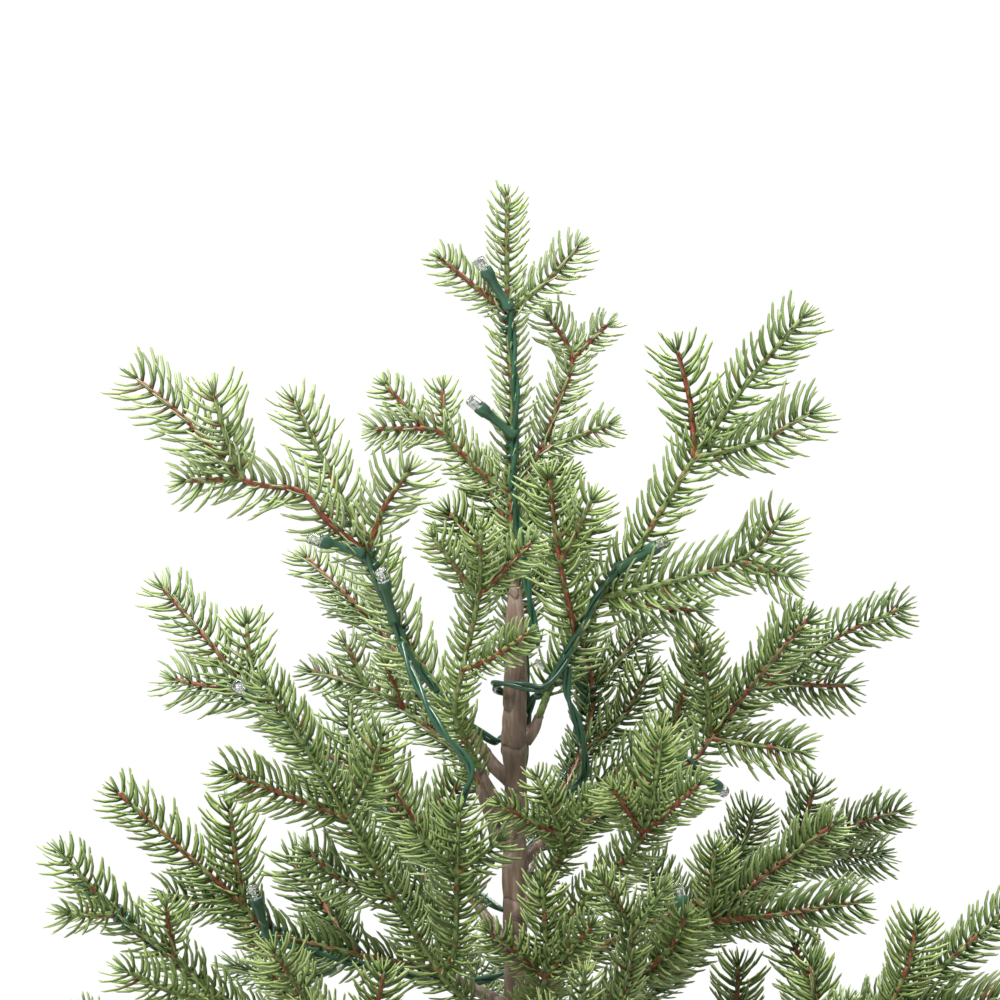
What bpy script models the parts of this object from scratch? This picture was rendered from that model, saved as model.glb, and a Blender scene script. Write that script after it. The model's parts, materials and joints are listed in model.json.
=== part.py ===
"""Artificial tabletop spruce with moulded sprays, a wired trunk, a lamp string and a weighted base.

Metres, +Z up. The origin is the centre of the base's underside, on the trunk's axis. -Y is the front.
Every branch is a stiff wire that bends where it leaves the trunk, so it turns about a hinge there.
"""

import math

import bmesh
import bpy
from mathutils import Matrix, Vector

MM = 0.001
GAP = 0.0003                    # between pieces that touch

# Weighted base
TUB_HEIGHT = 0.084
TUB_TOP_RADIUS = 0.0585
TUB_FOOT_RADIUS = 0.0500
TUB_WALL = 0.0022
TUB_RIM = 0.0016                # how far the rim stands out
RIM_DEPTH = 0.0040
BALLAST_HEIGHT = 0.058
MOSS_THICKNESS = 0.014
BURLAP_THICKNESS = 0.0016
BURLAP_BELLY = 0.0085           # how far the wrap bulges past the tub
RUFFLE_HEIGHT = 0.016           # free edge of the wrap above the rim
RUFFLE_FLARE = 0.0065
TWINE_RADIUS = 0.0013
TWINE_BELOW_RIM = 0.011

# Trunk
ROD_RADIUS = 0.0030
WRAP_WALL = 0.0010              # branch wires and tape round the rod
TRUNK_TOP = 0.4437
FIRST_BRANCH = 0.0112           # the lowest hinge above the battery box
SOCKET_WALL = 0.0020
SOCKET_COLLAR = 0.005           # how far the socket stands out of the moss

# Branch roots
HINGE_REACH = 0.0048            # from the trunk's surface out to a branch's hinge
STUB_RADIUS = 0.0023
KNUCKLE_RADIUS = 0.0019
KNUCKLE_GAP = 0.0004
ARM_RADIUS = 0.0016             # taped wire at a branch's root
STEM_RADIUS = 0.0013
TWIG_RADIUS = 0.0010
TIP_RADIUS = 0.0007
FORK_BACK = 0.03                # a twig leaves this share of a run before its stem's point
SPREAD = 1.0                    # scales how far the sprays reach out from the trunk

# Lamp string
LEAD_RADIUS = 0.0017
LEAD_CLEARANCE = 0.0006         # between the lead and the stem that it follows
HOLDER_LENGTH = 0.0185
HOLDER_RADIUS = 0.0027
WAIST_RADIUS = 0.0016
LENS_LENGTH = 0.0050
LENS_RADIUS = 0.0025

# Battery box, standing on end behind the trunk
CELL_RADIUS = 0.0070
CELL_LENGTH = 0.0492
NUB_LENGTH = 0.0012
CELL_COUNT = 3
CASE_WALL = 0.0018
CELL_CLEARANCE = 0.0006
SPRING_HEIGHT = 0.0045
CONTACT_THICKNESS = 0.0005
SWITCH_BAY = 0.0052
DIVIDER = 0.0014
COVER_THICKNESS = 0.0016
TONGUE = 0.0009
TONGUE_THICKNESS = 0.0006
CASE_LIFT = 0.0073              # battery box above the socket's collar
CASE_BEHIND = 0.0012            # battery box behind the trunk
SWITCH_TRAVEL = 0.0030
SWITCH_LENGTH = 0.0036
SWITCH_WIDTH = 0.0024
SWITCH_PROUD = 0.0026
SWITCH_FLANGE = 0.0014
SWITCH_X = -0.010
EXIT_X = 0.014                  # where the lead leaves the box
EXIT_CLEARANCE = 0.0006
COVER_RIDGE = 0.0005
RIDGE_PITCH = 0.0030
NUB_RADIUS = 0.0026
STRAP_LIFT = 0.030
STRAP_SLACK = 0.0008
STRAP_THICKNESS = 0.0012
STRAP_WIDTH = 0.0040

# Worked out from the values above
tub_foot = BURLAP_THICKNESS + GAP
ballast_foot = tub_foot + TUB_WALL + GAP
moss_foot = ballast_foot + BALLAST_HEIGHT + GAP
moss_top = moss_foot + MOSS_THICKNESS
rim_top = tub_foot + TUB_HEIGHT
trunk_radius = ROD_RADIUS + GAP + WRAP_WALL
socket_bore = trunk_radius + GAP
socket_radius = socket_bore + SOCKET_WALL
socket_floor = ballast_foot + SOCKET_WALL
collar_top = moss_top + SOCKET_COLLAR
trunk_foot = socket_floor + GAP
hinge_radius = trunk_radius + HINGE_REACH
lead_reach = trunk_radius + CASE_WALL + LEAD_RADIUS + LEAD_CLEARANCE
cell_pitch = 2 * CELL_RADIUS + CELL_CLEARANCE
case_half = (CELL_COUNT * cell_pitch + CELL_CLEARANCE) / 2
case_outer = case_half + CASE_WALL
case_front = trunk_radius + CASE_BEHIND
bay_front = case_front + CASE_WALL
bay_back = bay_front + 2 * CELL_RADIUS + 2 * CELL_CLEARANCE
bay_middle = (bay_front + bay_back) / 2
tongue_back = (bay_back + 2 * GAP, bay_back + 2 * GAP + TONGUE_THICKNESS)
case_back = bay_back + GAP + COVER_THICKNESS
case_foot = collar_top + CASE_LIFT
bay_foot = case_foot + CASE_WALL
bay_top = bay_foot + SPRING_HEIGHT + CELL_LENGTH + NUB_LENGTH + 3 * CONTACT_THICKNESS + 4 * GAP
switch_foot = bay_top + DIVIDER
switch_top = switch_foot + SWITCH_BAY
case_top = switch_top + CASE_WALL
first_hinge = case_top + FIRST_BRANCH
last_hinge = TRUNK_TOP + KNUCKLE_RADIUS + KNUCKLE_GAP

# The heights below were laid out in mm on a trunk whose lowest and highest hinges are these.
LAYOUT_LOW, LAYOUT_HIGH = 168, 446
layout_scale = (last_hinge - first_hinge) / (LAYOUT_HIGH - LAYOUT_LOW)

# The trunk's outer radius over the tape's joints and swellings: height in mm, how much thicker.
SWELLINGS = ((300, 0.0006), (326, 0.0011), (336, 0.0016), (345, 0.0002), (372, 0.0003), (380, 0.0016),
             (408, 0.0011), (434, 0.0009))

# Each spray: the side it leaves on (degrees from +X towards +Y), the height of its hinge, the range it
# bends through, and its stems. A stem names the stem and the point that it grows from (None: the
# hinge), then its own points in mm: x and y from the trunk's axis, z up from the hinge.
SPRAYS = {
    "leader": dict(azimuth=90, height=446, bend=(-12, 12), stems=(
        (None, 0, ((-2, -1, 35), (-1.5, -0.5, 55), (-1, 0, 69), (-3, 1, 104), (-3, 1, 148))),
        (0, 3, ((-17, -3, 114), (-29, -4, 124))),
        (0, 3, ((12, 2, 115), (24, 3, 128))),
        (0, 0, ((-14, -3, 42), (-27, -5, 55), (-34, -6, 58), (-54, -8, 58))),
        (3, 2, ((-50, -4, 75),)),
        (3, 1, ((-28, -2, 74),)),
        (0, 0, ((10, 5, 50), (17, 8, 69), (22, 9, 86), (13, 8, 102))),
        (6, 2, ((36, 12, 99),)),
        (6, 0, ((23, 3, 55), (37, 0, 60))))),
    "branch_01": dict(azimuth=-10, height=393, bend=(-15, 8), stems=(
        (None, 0, ((15, -3, 15), (24, -4, 30), (33, -6, 47), (40, -7.5, 57), (48, -9, 67), (69, -13, 101),
                   (88, -16, 128), (109, -20, 153))),
        (0, 5, ((67, -13, 120), (62, -12, 141))),
        (0, 5, ((92, -20, 106), (112, -22, 117))),
        (0, 2, ((52, -16, 51), (85, -24, 61), (100, -28, 76))),
        (3, 1, ((104, -30, 55),)),
        (0, 2, ((52, 6, 43), (71, 12, 41))),
        (0, 1, ((17, -15, 61), (13, -19, 92))),
        (6, 0, ((29, -24, 84),)))),
    "branch_02": dict(azimuth=-150, height=362, bend=(-15, 15), stems=(
        (None, 0, ((-17, -12, 19), (-23, -20, 34), (-20, -26, 51), (-14, -31, 79), (-13, -42, 104))),
        (0, 3, ((-31, -40, 101),)),
        (0, 3, ((6, -36, 99),)),
        (0, 2, ((-8, -34, 56), (5, -40, 65))))),
    "branch_03": dict(azimuth=180, height=376, bend=(-15, 10), stems=(
        (None, 0, ((-29, -2, 28), (-40, -4, 43), (-45.5, -5, 55), (-50, -6, 66), (-57, -8, 81),
                   (-70, -4, 109), (-85, 0, 139))),
        (0, 4, ((-50, -15, 98), (-40, -22, 112))),
        (0, 4, ((-71, -12, 92), (-82, -14, 104), (-104, -20, 109), (-124, -18, 130), (-144, -16, 147))),
        (2, 2, ((-110, -24, 126), (-114, -26, 141))),
        (2, 2, ((-125, -26, 108),)))),
    "branch_04": dict(azimuth=158, height=352, bend=(-15, 15), stems=(
        (None, 0, ((-18, 7, 22), (-29, 10, 32), (-44, 13, 44), (-58, 16, 52), (-80, 24, 58))),
        (0, 3, ((-66, 18, 69),)),
        (0, 2, ((-50, 8, 62),)),
        (0, 1, ((-42, 30, 56), (-56, 44, 76), (-83, 54, 102))),
        (3, 1, ((-71, 56, 84),)),
        (3, 1, ((-52, 50, 104),)))),
    "branch_05": dict(azimuth=-165, height=268, bend=(-15, 10), stems=(
        (None, 0, ((-18, -8, 16), (-29, -14, 29), (-47, -22, 59), (-64, -30, 90), (-78, -34, 114),
                   (-94, -38, 140))),
        (0, 3, ((-86, -36, 98), (-108, -42, 107))),
        (0, 3, ((-55, -32, 105), (-50, -34, 120))),
        (0, 1, ((-23, -24, 39), (-22, -34, 69), (-21, -42, 92))),
        (3, 1, ((-37, -40, 84),)),
        (3, 1, ((-6, -40, 81),)),
        (0, 2, ((-66, -16, 64), (-78, -12, 74))))),
    "branch_06": dict(azimuth=140, height=310, bend=(-15, 10), stems=(
        (None, 0, ((-30, 24, 28), (-62, 46, 56), (-104, 70, 88), (-124, 80, 110), (-143, 88, 131))),
        (0, 2, ((-107, 74, 104), (-108, 76, 117))),
        (0, 2, ((-138, 84, 94),)),
        (0, 0, ((-46, 22, 52), (-56, 20, 66))),
        (0, 1, ((-66, 62, 78), (-64, 76, 92))))),
    "branch_07": dict(azimuth=-170, height=232, bend=(-20, 15), stems=(
        (None, 0, ((-30, -6, 20), (-62, -14, 36), (-90, -20, 46), (-110, -26, 56), (-129, -30, 72),
                   (-150, -32, 89), (-171, -36, 112))),
        (0, 4, ((-131, -40, 92),)),
        (0, 5, ((-168, -46, 90),)),
        (0, 1, ((-78, -34, 56), (-90, -46, 76))),
        (0, 3, ((-126, -44, 60), (-144, -56, 70))))),
    "branch_08": dict(azimuth=175, height=285, bend=(-15, 15), stems=(
        (None, 0, ((-30, 2, 10), (-62, 0, 17), (-94, -4, 26), (-104, -6, 36), (-128, -8, 58), (-152, -10, 80))),
        (0, 3, ((-107, -10, 56), (-109, -12, 74))),
        (0, 3, ((-134, -2, 40),)),
        (0, 1, ((-74, 14, 34), (-88, 22, 52))))),
    "branch_09": dict(azimuth=-60, height=322, bend=(-15, 15), stems=(
        (None, 0, ((12, -19, 13), (18, -26, 20), (17, -33, 29), (8, -40, 51))),
        (0, 2, ((-6, -42, 41),)),
        (0, 2, ((29, -42, 43),)))),
    "branch_10": dict(azimuth=-45, height=298, bend=(-20, 15), stems=(
        (None, 0, ((20, -20, 20), (36, -36, 38), (48, -48, 55), (52, -54, 74), (54, -56, 90))),
        (0, 2, ((68, -62, 74),)),
        (0, 2, ((36, -62, 72),)))),
    "branch_11": dict(azimuth=5, height=324, bend=(-20, 6), stems=(
        (None, 0, ((21, 2, 22), (40, 4, 37), (67, 6, 51), (76, 8, 61), (96, 12, 86), (114, 14, 107))),
        (0, 3, ((74, 4, 80), (72, 2, 93))),
        (0, 3, ((110, -4, 56),)),
        (0, 1, ((52, -12, 52), (56, -18, 66))))),
    "branch_12": dict(azimuth=35, height=342, bend=(-15, 15), stems=(
        (None, 0, ((30, 20, 22), (62, 40, 43), (100, 58, 62), (130, 68, 80), (156, 76, 91))),
        (0, 2, ((106, 62, 78), (112, 66, 90))),
        (0, 2, ((134, 72, 60),)),
        (0, 1, ((68, 34, 64), (72, 32, 80))))),
    "branch_13": dict(azimuth=-8, height=262, bend=(-10, 12), stems=(
        (None, 0, ((24, -4, 14), (46, -8, 32), (67, -12, 47), (74, -14, 54), (98, -18, 74), (121, -22, 92))),
        (0, 3, ((75, -16, 70), (76, -18, 82))),
        (0, 3, ((100, -26, 58), (129, -30, 63))),
        (0, 1, ((58, -24, 44), (64, -36, 58))))),
    "branch_14": dict(azimuth=28, height=288, bend=(-15, 15), stems=(
        (None, 0, ((36, 18, 16), (80, 38, 34), (112, 52, 46), (134, 58, 58), (154, 64, 64))),
        (0, 2, ((116, 58, 62), (120, 60, 74))),
        (0, 2, ((148, 74, 46),)),
        (0, 1, ((90, 54, 50), (96, 66, 64))))),
    "branch_15": dict(azimuth=-14, height=214, bend=(-20, 5), stems=(
        (None, 0, ((40, -10, 18), (80, -20, 34), (115, -28, 50), (141, -34, 70), (166, -36, 92),
                   (187, -38, 111))),
        (0, 3, ((148, -40, 90), (150, -42, 104))),
        (0, 3, ((182, -48, 76),)),
        (0, 1, ((96, -38, 50), (106, -50, 66))),
        (0, 2, ((130, -14, 62), (146, -4, 74))),
        (0, 2, ((112, -24, 72), (106, -21, 94))),
        (0, 1, ((84, -8, 58), (86, -2, 84))))),
    "branch_16": dict(azimuth=-95, height=276, bend=(-12, 15), stems=(
        (None, 0, ((2, -24, 8), (8, -40, 14), (11, -54, 24), (11, -58, 42), (10, -62, 58))),
        (0, 2, ((-10, -66, 42),)),
        (0, 2, ((28, -70, 44),)))),
    "branch_17": dict(azimuth=-72, height=240, bend=(-20, 9), stems=(
        (None, 0, ((8, -28, 8), (16, -52, 16), (22, -74, 30), (25, -86, 64))),
        (0, 2, ((8, -90, 50),)),
        (0, 2, ((40, -94, 48),)),
        (0, 1, ((30, -60, 36), (39, -64, 53), (42, -67, 77), (32, -70, 97))),
        (3, 2, ((54, -72, 94),)))),
    "branch_18": dict(azimuth=-122, height=222, bend=(-20, 15), stems=(
        (None, 0, ((-22, -36, 16), (-40, -66, 32), (-52, -86, 54), (-48, -96, 84))),
        (0, 2, ((-76, -106, 72),)),
        (0, 2, ((-32, -108, 66),)),
        (0, 1, ((-60, -74, 46), (-74, -76, 62))))),
    "branch_19": dict(azimuth=-32, height=200, bend=(-20, 15), stems=(
        (None, 0, ((38, -24, 18), (74, -46, 34), (102, -62, 56), (122, -70, 92))),
        (0, 2, ((144, -84, 70),)),
        (0, 2, ((100, -92, 76),)),
        (0, 1, ((82, -70, 44), (84, -88, 58))),
        (0, 0, ((46, -42, 36), (48, -58, 52))),
        (0, 2, ((112, -54, 80), (110, -48, 104))))),
    "branch_20": dict(azimuth=-148, height=196, bend=(-20, 8), stems=(
        (None, 0, ((-38, -24, 16), (-78, -48, 32), (-112, -66, 52), (-140, -76, 86))),
        (0, 2, ((-152, -94, 58),)),
        (0, 2, ((-110, -96, 82),)),
        (0, 1, ((-88, -74, 44), (-88, -92, 60))))),
    "branch_21": dict(azimuth=95, height=402, bend=(-15, 12), stems=(
        (None, 0, ((0, 22, 18), (2, 36, 38), (0, 48, 60), (2, 68, 78))),
        (0, 2, ((-16, 56, 90),)),
        (0, 2, ((18, 58, 88),)),
        (0, 1, ((-14, 44, 56), (-26, 46, 70))),
        (0, 1, ((18, 44, 50), (31, 46, 62))))),
    "branch_22": dict(azimuth=68, height=330, bend=(-15, 15), stems=(
        (None, 0, ((14, 34, 22), (26, 64, 44), (32, 84, 70), (22, 96, 106))),
        (0, 2, ((54, 104, 94),)),
        (0, 2, ((24, 116, 80),)),
        (0, 1, ((44, 70, 60), (54, 72, 78))))),
    "branch_23": dict(azimuth=112, height=272, bend=(-15, 15), stems=(
        (None, 0, ((-16, 38, 18), (-32, 76, 36), (-40, 102, 60), (-58, 116, 94))),
        (0, 2, ((-20, 118, 92),)),
        (0, 2, ((-44, 136, 68),)),
        (0, 1, ((-50, 84, 54), (-62, 84, 72))))),
    "branch_24": dict(azimuth=58, height=244, bend=(-15, 15), stems=(
        (None, 0, ((26, 42, 16), (56, 86, 32), (74, 114, 54), (96, 130, 86))),
        (0, 2, ((56, 138, 82),)),
        (0, 2, ((94, 148, 60),)),
        (0, 1, ((74, 86, 50), (88, 82, 66))))),
    "branch_25": dict(azimuth=128, height=222, bend=(-15, 15), stems=(
        (None, 0, ((-32, 42, 16), (-68, 88, 32), (-92, 118, 54), (-118, 130, 84))),
        (0, 2, ((-76, 144, 84),)),
        (0, 2, ((-118, 150, 58),)),
        (0, 1, ((-86, 88, 48), (-100, 82, 64))))),
    "branch_26": dict(azimuth=168, height=188, bend=(-15, 15), stems=(
        (None, 0, ((-50, 12, 16), (-104, 26, 32), (-142, 34, 54), (-172, 40, 86))),
        (0, 2, ((-138, 54, 86),)),
        (0, 2, ((-182, 48, 58),)),
        (0, 1, ((-120, 44, 46), (-130, 60, 58))),
        (0, 0, ((-66, 28, 34), (-76, 42, 50))))),
    "branch_27": dict(azimuth=20, height=176, bend=(-15, 15), stems=(
        (None, 0, ((50, 18, 14), (104, 38, 30), (146, 52, 52), (176, 60, 86))),
        (0, 2, ((142, 72, 84),)),
        (0, 2, ((188, 72, 56),)),
        (0, 1, ((120, 58, 44), (126, 76, 58))),
        (0, 0, ((66, 12, 34), (78, 4, 50))))),
    "branch_28": dict(azimuth=-100, height=168, bend=(-15, 15), stems=(
        (None, 0, ((-10, -46, 14), (-20, -94, 28), (-26, -128, 50), (-44, -146, 82))),
        (0, 2, ((-8, -150, 80),)),
        (0, 2, ((-30, -168, 52),)),
        (0, 1, ((-40, -104, 44), (-56, -108, 60))),
        (0, 0, ((8, -62, 32), (20, -76, 48))))),
    "branch_29": dict(azimuth=84, height=206, bend=(-12, 15), stems=(
        (None, 0, ((4, 50, 14), (8, 100, 30), (10, 132, 52), (-8, 148, 84))),
        (0, 2, ((28, 152, 82),)),
        (0, 2, ((12, 172, 56),)),
        (0, 1, ((26, 108, 46), (40, 110, 62))))),
}

# The lamp string's leads, held along the first stem of a spray: which way the lead lies beside the
# stem, the stem points that it follows, and its lamps (point on the lead, then the lens's end).
LEADS = {
    "leader": dict(beside=(0.35, -1, 0), last=3, lamps=((1, (-24, -12, 75)), (3, (-18, -8, 129)))),
    "branch_01": dict(beside=(-0.3, -0.95, 0.1), last=3, lamps=((3, (66, -20, 73)),)),
    "branch_03": dict(beside=(-0.3, -0.95, 0), last=4, lamps=((2, (-51, -19, 74)), (4, (-80, -20, 87)))),
    "branch_06": dict(beside=(-0.5, -0.8, -0.2), last=2, lamps=((2, (-109, 50, 92)),)),
    "branch_07": dict(beside=(0.1, 0.9, -0.4), last=5, lamps=((5, (-172, -18, 104)),)),
    "branch_08": dict(beside=(0, -0.6, -0.8), last=2, lamps=((2, (-101, -14, 46)),)),
    "branch_11": dict(beside=(0.2, 0.7, -0.7), last=2, lamps=((2, (80, 22, 40)),)),
    "branch_13": dict(beside=(0.1, 0.8, -0.6), last=2, lamps=((2, (62, -2, 67)),)),
    "branch_17": dict(beside=(-0.8, 0, -0.6), last=2, lamps=((2, (8, -82, 22)),)),
    "branch_22": dict(beside=(-0.9, 0.2, -0.3), last=2, lamps=((2, (12, 86, 80)),)),
    "branch_24": dict(beside=(-0.9, 0.1, -0.6), last=2, lamps=((2, (56, 122, 60)),)),
    "branch_25": dict(beside=(0.8, 0.2, -0.6), last=2, lamps=((2, (-76, 128, 60)),)),
}

# The string's main lead up the trunk from the battery box: side in degrees, height in mm.
TRUNK_LEAD = ((46, 182), (40, 200), (50, 216), (86, 232), (92, 250), (70, 270), (58, 290),
              (74, 304), (92, 318), (98, 340), (88, 362), (62, 380), (56, 400), (66, 420))


def make_material(name, color, roughness, metallic=0.0):
    material = bpy.data.materials.new(name)
    material.use_nodes = True
    shader = material.node_tree.nodes["Principled BSDF"]
    shader.inputs["Base Color"].default_value = (*color, 1.0)
    shader.inputs["Roughness"].default_value = roughness
    shader.inputs["Metallic"].default_value = metallic
    return material


def add_object(name, data, material, collection):
    obj = bpy.data.objects.new(name, data)
    if material and not obj.data.materials:
        obj.data.materials.append(material)
    collection.objects.link(obj)
    return obj


def hide_cutter(obj):
    obj.hide_render = True
    obj.display_type = "WIRE"


def turned(name, profile, material, collection, steps=24):
    """A profile of (radius, height) points turned about +Z; it closes on itself where it misses the axis."""
    mesh = bpy.data.meshes.new(name)
    edges = [(i, i + 1) for i in range(len(profile) - 1)]
    if profile[0][0] > 0:
        edges.append((len(profile) - 1, 0))
    mesh.from_pydata([(r, 0, z) for r, z in profile], edges, [])
    obj = add_object(name, mesh, material, collection)
    screw = obj.modifiers.new("Screw", "SCREW")
    screw.axis = "Z"
    screw.steps = screw.render_steps = steps
    screw.use_merge_vertices = True
    screw.merge_threshold = 0.00001
    screw.use_smooth_shade = True
    return obj


def box(name, low, high, material, collection, bevel=0.0):
    mesh = bpy.data.meshes.new(name)
    low, high = Vector(low), Vector(high)
    bm = bmesh.new()
    bmesh.ops.create_cube(bm, size=1.0)
    bmesh.ops.scale(bm, vec=high - low, verts=bm.verts)
    bmesh.ops.translate(bm, vec=(high + low) / 2, verts=bm.verts)
    bm.to_mesh(mesh)
    bm.free()
    obj = add_object(name, mesh, material, collection)
    if bevel:
        rounding = obj.modifiers.new("Bevel", "BEVEL")
        rounding.width = bevel
        rounding.segments = 2
    return obj


def cylinder(name, radius, length, segments, collection, material=None, end_radius=None, frame=None):
    """A cylinder or cone from the origin up +Z, then placed by the matrix frame."""
    bm = bmesh.new()
    end = radius if end_radius is None else end_radius
    bmesh.ops.create_cone(bm, cap_ends=True, segments=segments, radius1=radius, radius2=end, depth=length)
    bmesh.ops.translate(bm, vec=(0, 0, length / 2), verts=bm.verts)
    if frame:
        bmesh.ops.transform(bm, matrix=frame, verts=bm.verts)
    mesh = bpy.data.meshes.new(name)
    bm.to_mesh(mesh)
    bm.free()
    return add_object(name, mesh, material, collection)


def combine(obj, other, operation):
    boolean = obj.modifiers.new(operation.title(), "BOOLEAN")
    boolean.operation = operation
    boolean.object = other
    boolean.solver = "EXACT"
    return obj


def applied(obj):
    """The object's evaluated shape as a plain mesh, with its modifiers gone."""
    bpy.context.view_layer.update()
    evaluated = obj.evaluated_get(bpy.context.evaluated_depsgraph_get())
    mesh = bpy.data.meshes.new_from_object(evaluated)
    obj.modifiers.clear()
    obj.data = mesh
    return obj


def joined(name, pieces, material, collection):
    """One body from overlapping pieces, which are used up."""
    base = pieces[0]
    for piece in pieces[1:]:
        combine(base, piece, "UNION")
    applied(base)
    for piece in pieces[1:]:
        bpy.data.objects.remove(piece)
    base.name = name
    base.data.materials.clear()
    base.data.materials.append(material)
    for owner in list(base.users_collection):
        owner.objects.unlink(base)
    collection.objects.link(base)
    return base


def tube(name, points, radii, sides, collection):
    """A closed tube along straight runs between points, as a mesh with its caps welded on."""
    curve = bpy.data.curves.new(name, "CURVE")
    curve.dimensions = "3D"
    curve.bevel_depth = 1.0
    curve.bevel_resolution = sides // 2 - 2
    curve.use_fill_caps = True
    spline = curve.splines.new("POLY")
    spline.points.add(len(points) - 1)
    for point, place, radius in zip(spline.points, points, radii):
        point.co = (*place, 1.0)
        point.radius = radius
    guide = add_object(name, curve, None, collection)
    bpy.context.view_layer.update()
    evaluated = guide.evaluated_get(bpy.context.evaluated_depsgraph_get())
    mesh = bpy.data.meshes.new_from_object(evaluated)
    bm = bmesh.new()
    bm.from_mesh(mesh)
    bmesh.ops.remove_doubles(bm, verts=bm.verts, dist=0.00001)
    bmesh.ops.recalc_face_normals(bm, faces=bm.faces)
    bm.to_mesh(mesh)
    bm.free()
    solid = bpy.data.objects.new(name, mesh)
    solid.matrix_world = guide.matrix_world
    bpy.data.objects.remove(guide)
    collection.objects.link(solid)
    return solid


def smooth_run(points, steps):
    """Points on a Catmull-Rom curve through the given ones."""
    ends = [2 * points[0] - points[1], *points, 2 * points[-1] - points[-2]]
    run = []
    for a, b, c, d in zip(ends, ends[1:], ends[2:], ends[3:]):
        for step in range(steps):
            t = step / steps
            run.append(0.5 * (2 * b + (c - a) * t + (2 * a - 5 * b + 4 * c - d) * t**2
                              + (3 * b - a - 3 * c + d) * t**3))
    return run + [points[-1]]


def aim(place, direction):
    """The matrix that takes +Z to a direction, at a place."""
    return Matrix.Translation(place) @ direction.to_track_quat("Z", "Y").to_matrix().to_4x4()


def level(height):
    """A height of the layout, in mm, as a height on this trunk, in metres."""
    return first_hinge + (height - LAYOUT_LOW) * layout_scale


def on_trunk(reach, side, height):
    angle = math.radians(side)
    return Vector((reach * math.cos(angle), reach * math.sin(angle), level(height)))


def is_leader(spray):
    return spray["height"] == LAYOUT_HIGH


def spray_hinge(spray):
    """Where a spray's wire bends, in metres; the leader bends on the trunk's axis."""
    return on_trunk(0 if is_leader(spray) else hinge_radius, spray["azimuth"], spray["height"])


def spray_point(spray, place):
    x, y, rise = place
    reach = SPREAD * layout_scale
    return Vector((x * reach, y * reach, level(spray["height"] + rise)))


def stem_runs(spray):
    """Each stem's points in metres, from the point that it grows from."""
    runs = []
    for parent, at, places in spray["stems"]:
        start = spray_hinge(spray) if parent is None else runs[parent][at + 1].lerp(runs[parent][at], FORK_BACK)
        runs.append([start, *(spray_point(spray, place) for place in places)])
    return runs


def make_base(parts, cutters, looks):
    rim = TUB_TOP_RADIUS + TUB_RIM
    inner_foot, inner_top = TUB_FOOT_RADIUS - TUB_WALL, TUB_TOP_RADIUS - TUB_WALL
    turned("base_tub", [
        (inner_top, rim_top), (rim, rim_top), (rim, rim_top - RIM_DEPTH), (TUB_TOP_RADIUS, rim_top - RIM_DEPTH),
        (TUB_FOOT_RADIUS, tub_foot), (0, tub_foot), (0, tub_foot + TUB_WALL), (inner_foot, tub_foot + TUB_WALL),
    ], looks["tub"], parts)

    def tub_bore(height):
        share = (height - tub_foot - TUB_WALL) / (TUB_HEIGHT - TUB_WALL)
        return inner_foot + share * (inner_top - inner_foot) - GAP

    hole = socket_radius + GAP
    for name, foot, top, look in (("cement_ballast", ballast_foot, ballast_foot + BALLAST_HEIGHT, "cement"),
                                  ("moss_disc", moss_foot, moss_top, "moss")):
        turned(name, [(hole, top), (tub_bore(top), top), (tub_bore(foot), foot), (hole, foot)],
               looks[look], parts)

    turned("trunk_socket", [
        (socket_bore, collar_top), (socket_radius, collar_top), (socket_radius, ballast_foot), (0, ballast_foot),
        (0, socket_floor), (socket_bore, socket_floor),
    ], looks["socket"], parts, steps=20)

    wall, clear = BURLAP_THICKNESS, GAP
    neck_height = rim_top - TWINE_BELOW_RIM
    slope = (TUB_TOP_RADIUS - TUB_FOOT_RADIUS) / (TUB_HEIGHT - RIM_DEPTH)
    neck = TUB_FOOT_RADIUS + slope * (neck_height - tub_foot) + clear + wall
    lip_height = rim_top + RUFFLE_HEIGHT
    sleeve = rim + clear + wall
    outer = [
        (sleeve + RUFFLE_FLARE, lip_height), (sleeve + 0.4 * RUFFLE_FLARE, rim_top + 0.006),
        (sleeve, rim_top - RIM_DEPTH - 0.0005), (neck + 0.0012, rim_top - RIM_DEPTH - 0.0025), (neck, neck_height),
        (neck + 0.004, neck_height - 0.010), (TUB_TOP_RADIUS + BURLAP_BELLY, 0.45 * rim_top),
        (TUB_FOOT_RADIUS + BURLAP_BELLY, 0.16 * rim_top), (TUB_FOOT_RADIUS + 0.0035, 0.0), (0, 0),
    ]
    inner = [(r - wall, z) for r, z in outer[:7]]
    inner += [(TUB_FOOT_RADIUS + BURLAP_BELLY - wall, 0.18 * rim_top), (TUB_FOOT_RADIUS + 0.0028, wall), (0, wall)]
    turned("burlap_wrap", outer + inner[::-1], looks["burlap"], parts)

    bpy.ops.mesh.primitive_torus_add(
        location=(0, 0, neck_height), major_segments=24, minor_segments=6,
        major_radius=neck + TWINE_RADIUS + 2 * GAP, minor_radius=TWINE_RADIUS)
    adopt(bpy.context.object, "twine_tie", looks["twine"], parts)


def adopt(obj, name, material, collection):
    obj.name = name
    obj.data.name = name
    obj.data.materials.clear()
    obj.data.materials.append(material)
    for owner in list(obj.users_collection):
        owner.objects.unlink(obj)
    collection.objects.link(obj)


def stub_of(name, spray, collection):
    """The taped wire end that stands out of the trunk towards a spray's hinge."""
    hinge = spray_hinge(spray)
    first = stem_runs(spray)[0][1]
    direction = (first - hinge).normalized()
    level = math.hypot(direction.x, direction.y)
    inside = (hinge_radius - ROD_RADIUS) / max(level, 0.35)
    length = inside - KNUCKLE_RADIUS - KNUCKLE_GAP
    start = hinge - direction * inside
    return cylinder(name, STUB_RADIUS, length, 6, collection, frame=aim(start, direction))


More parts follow.
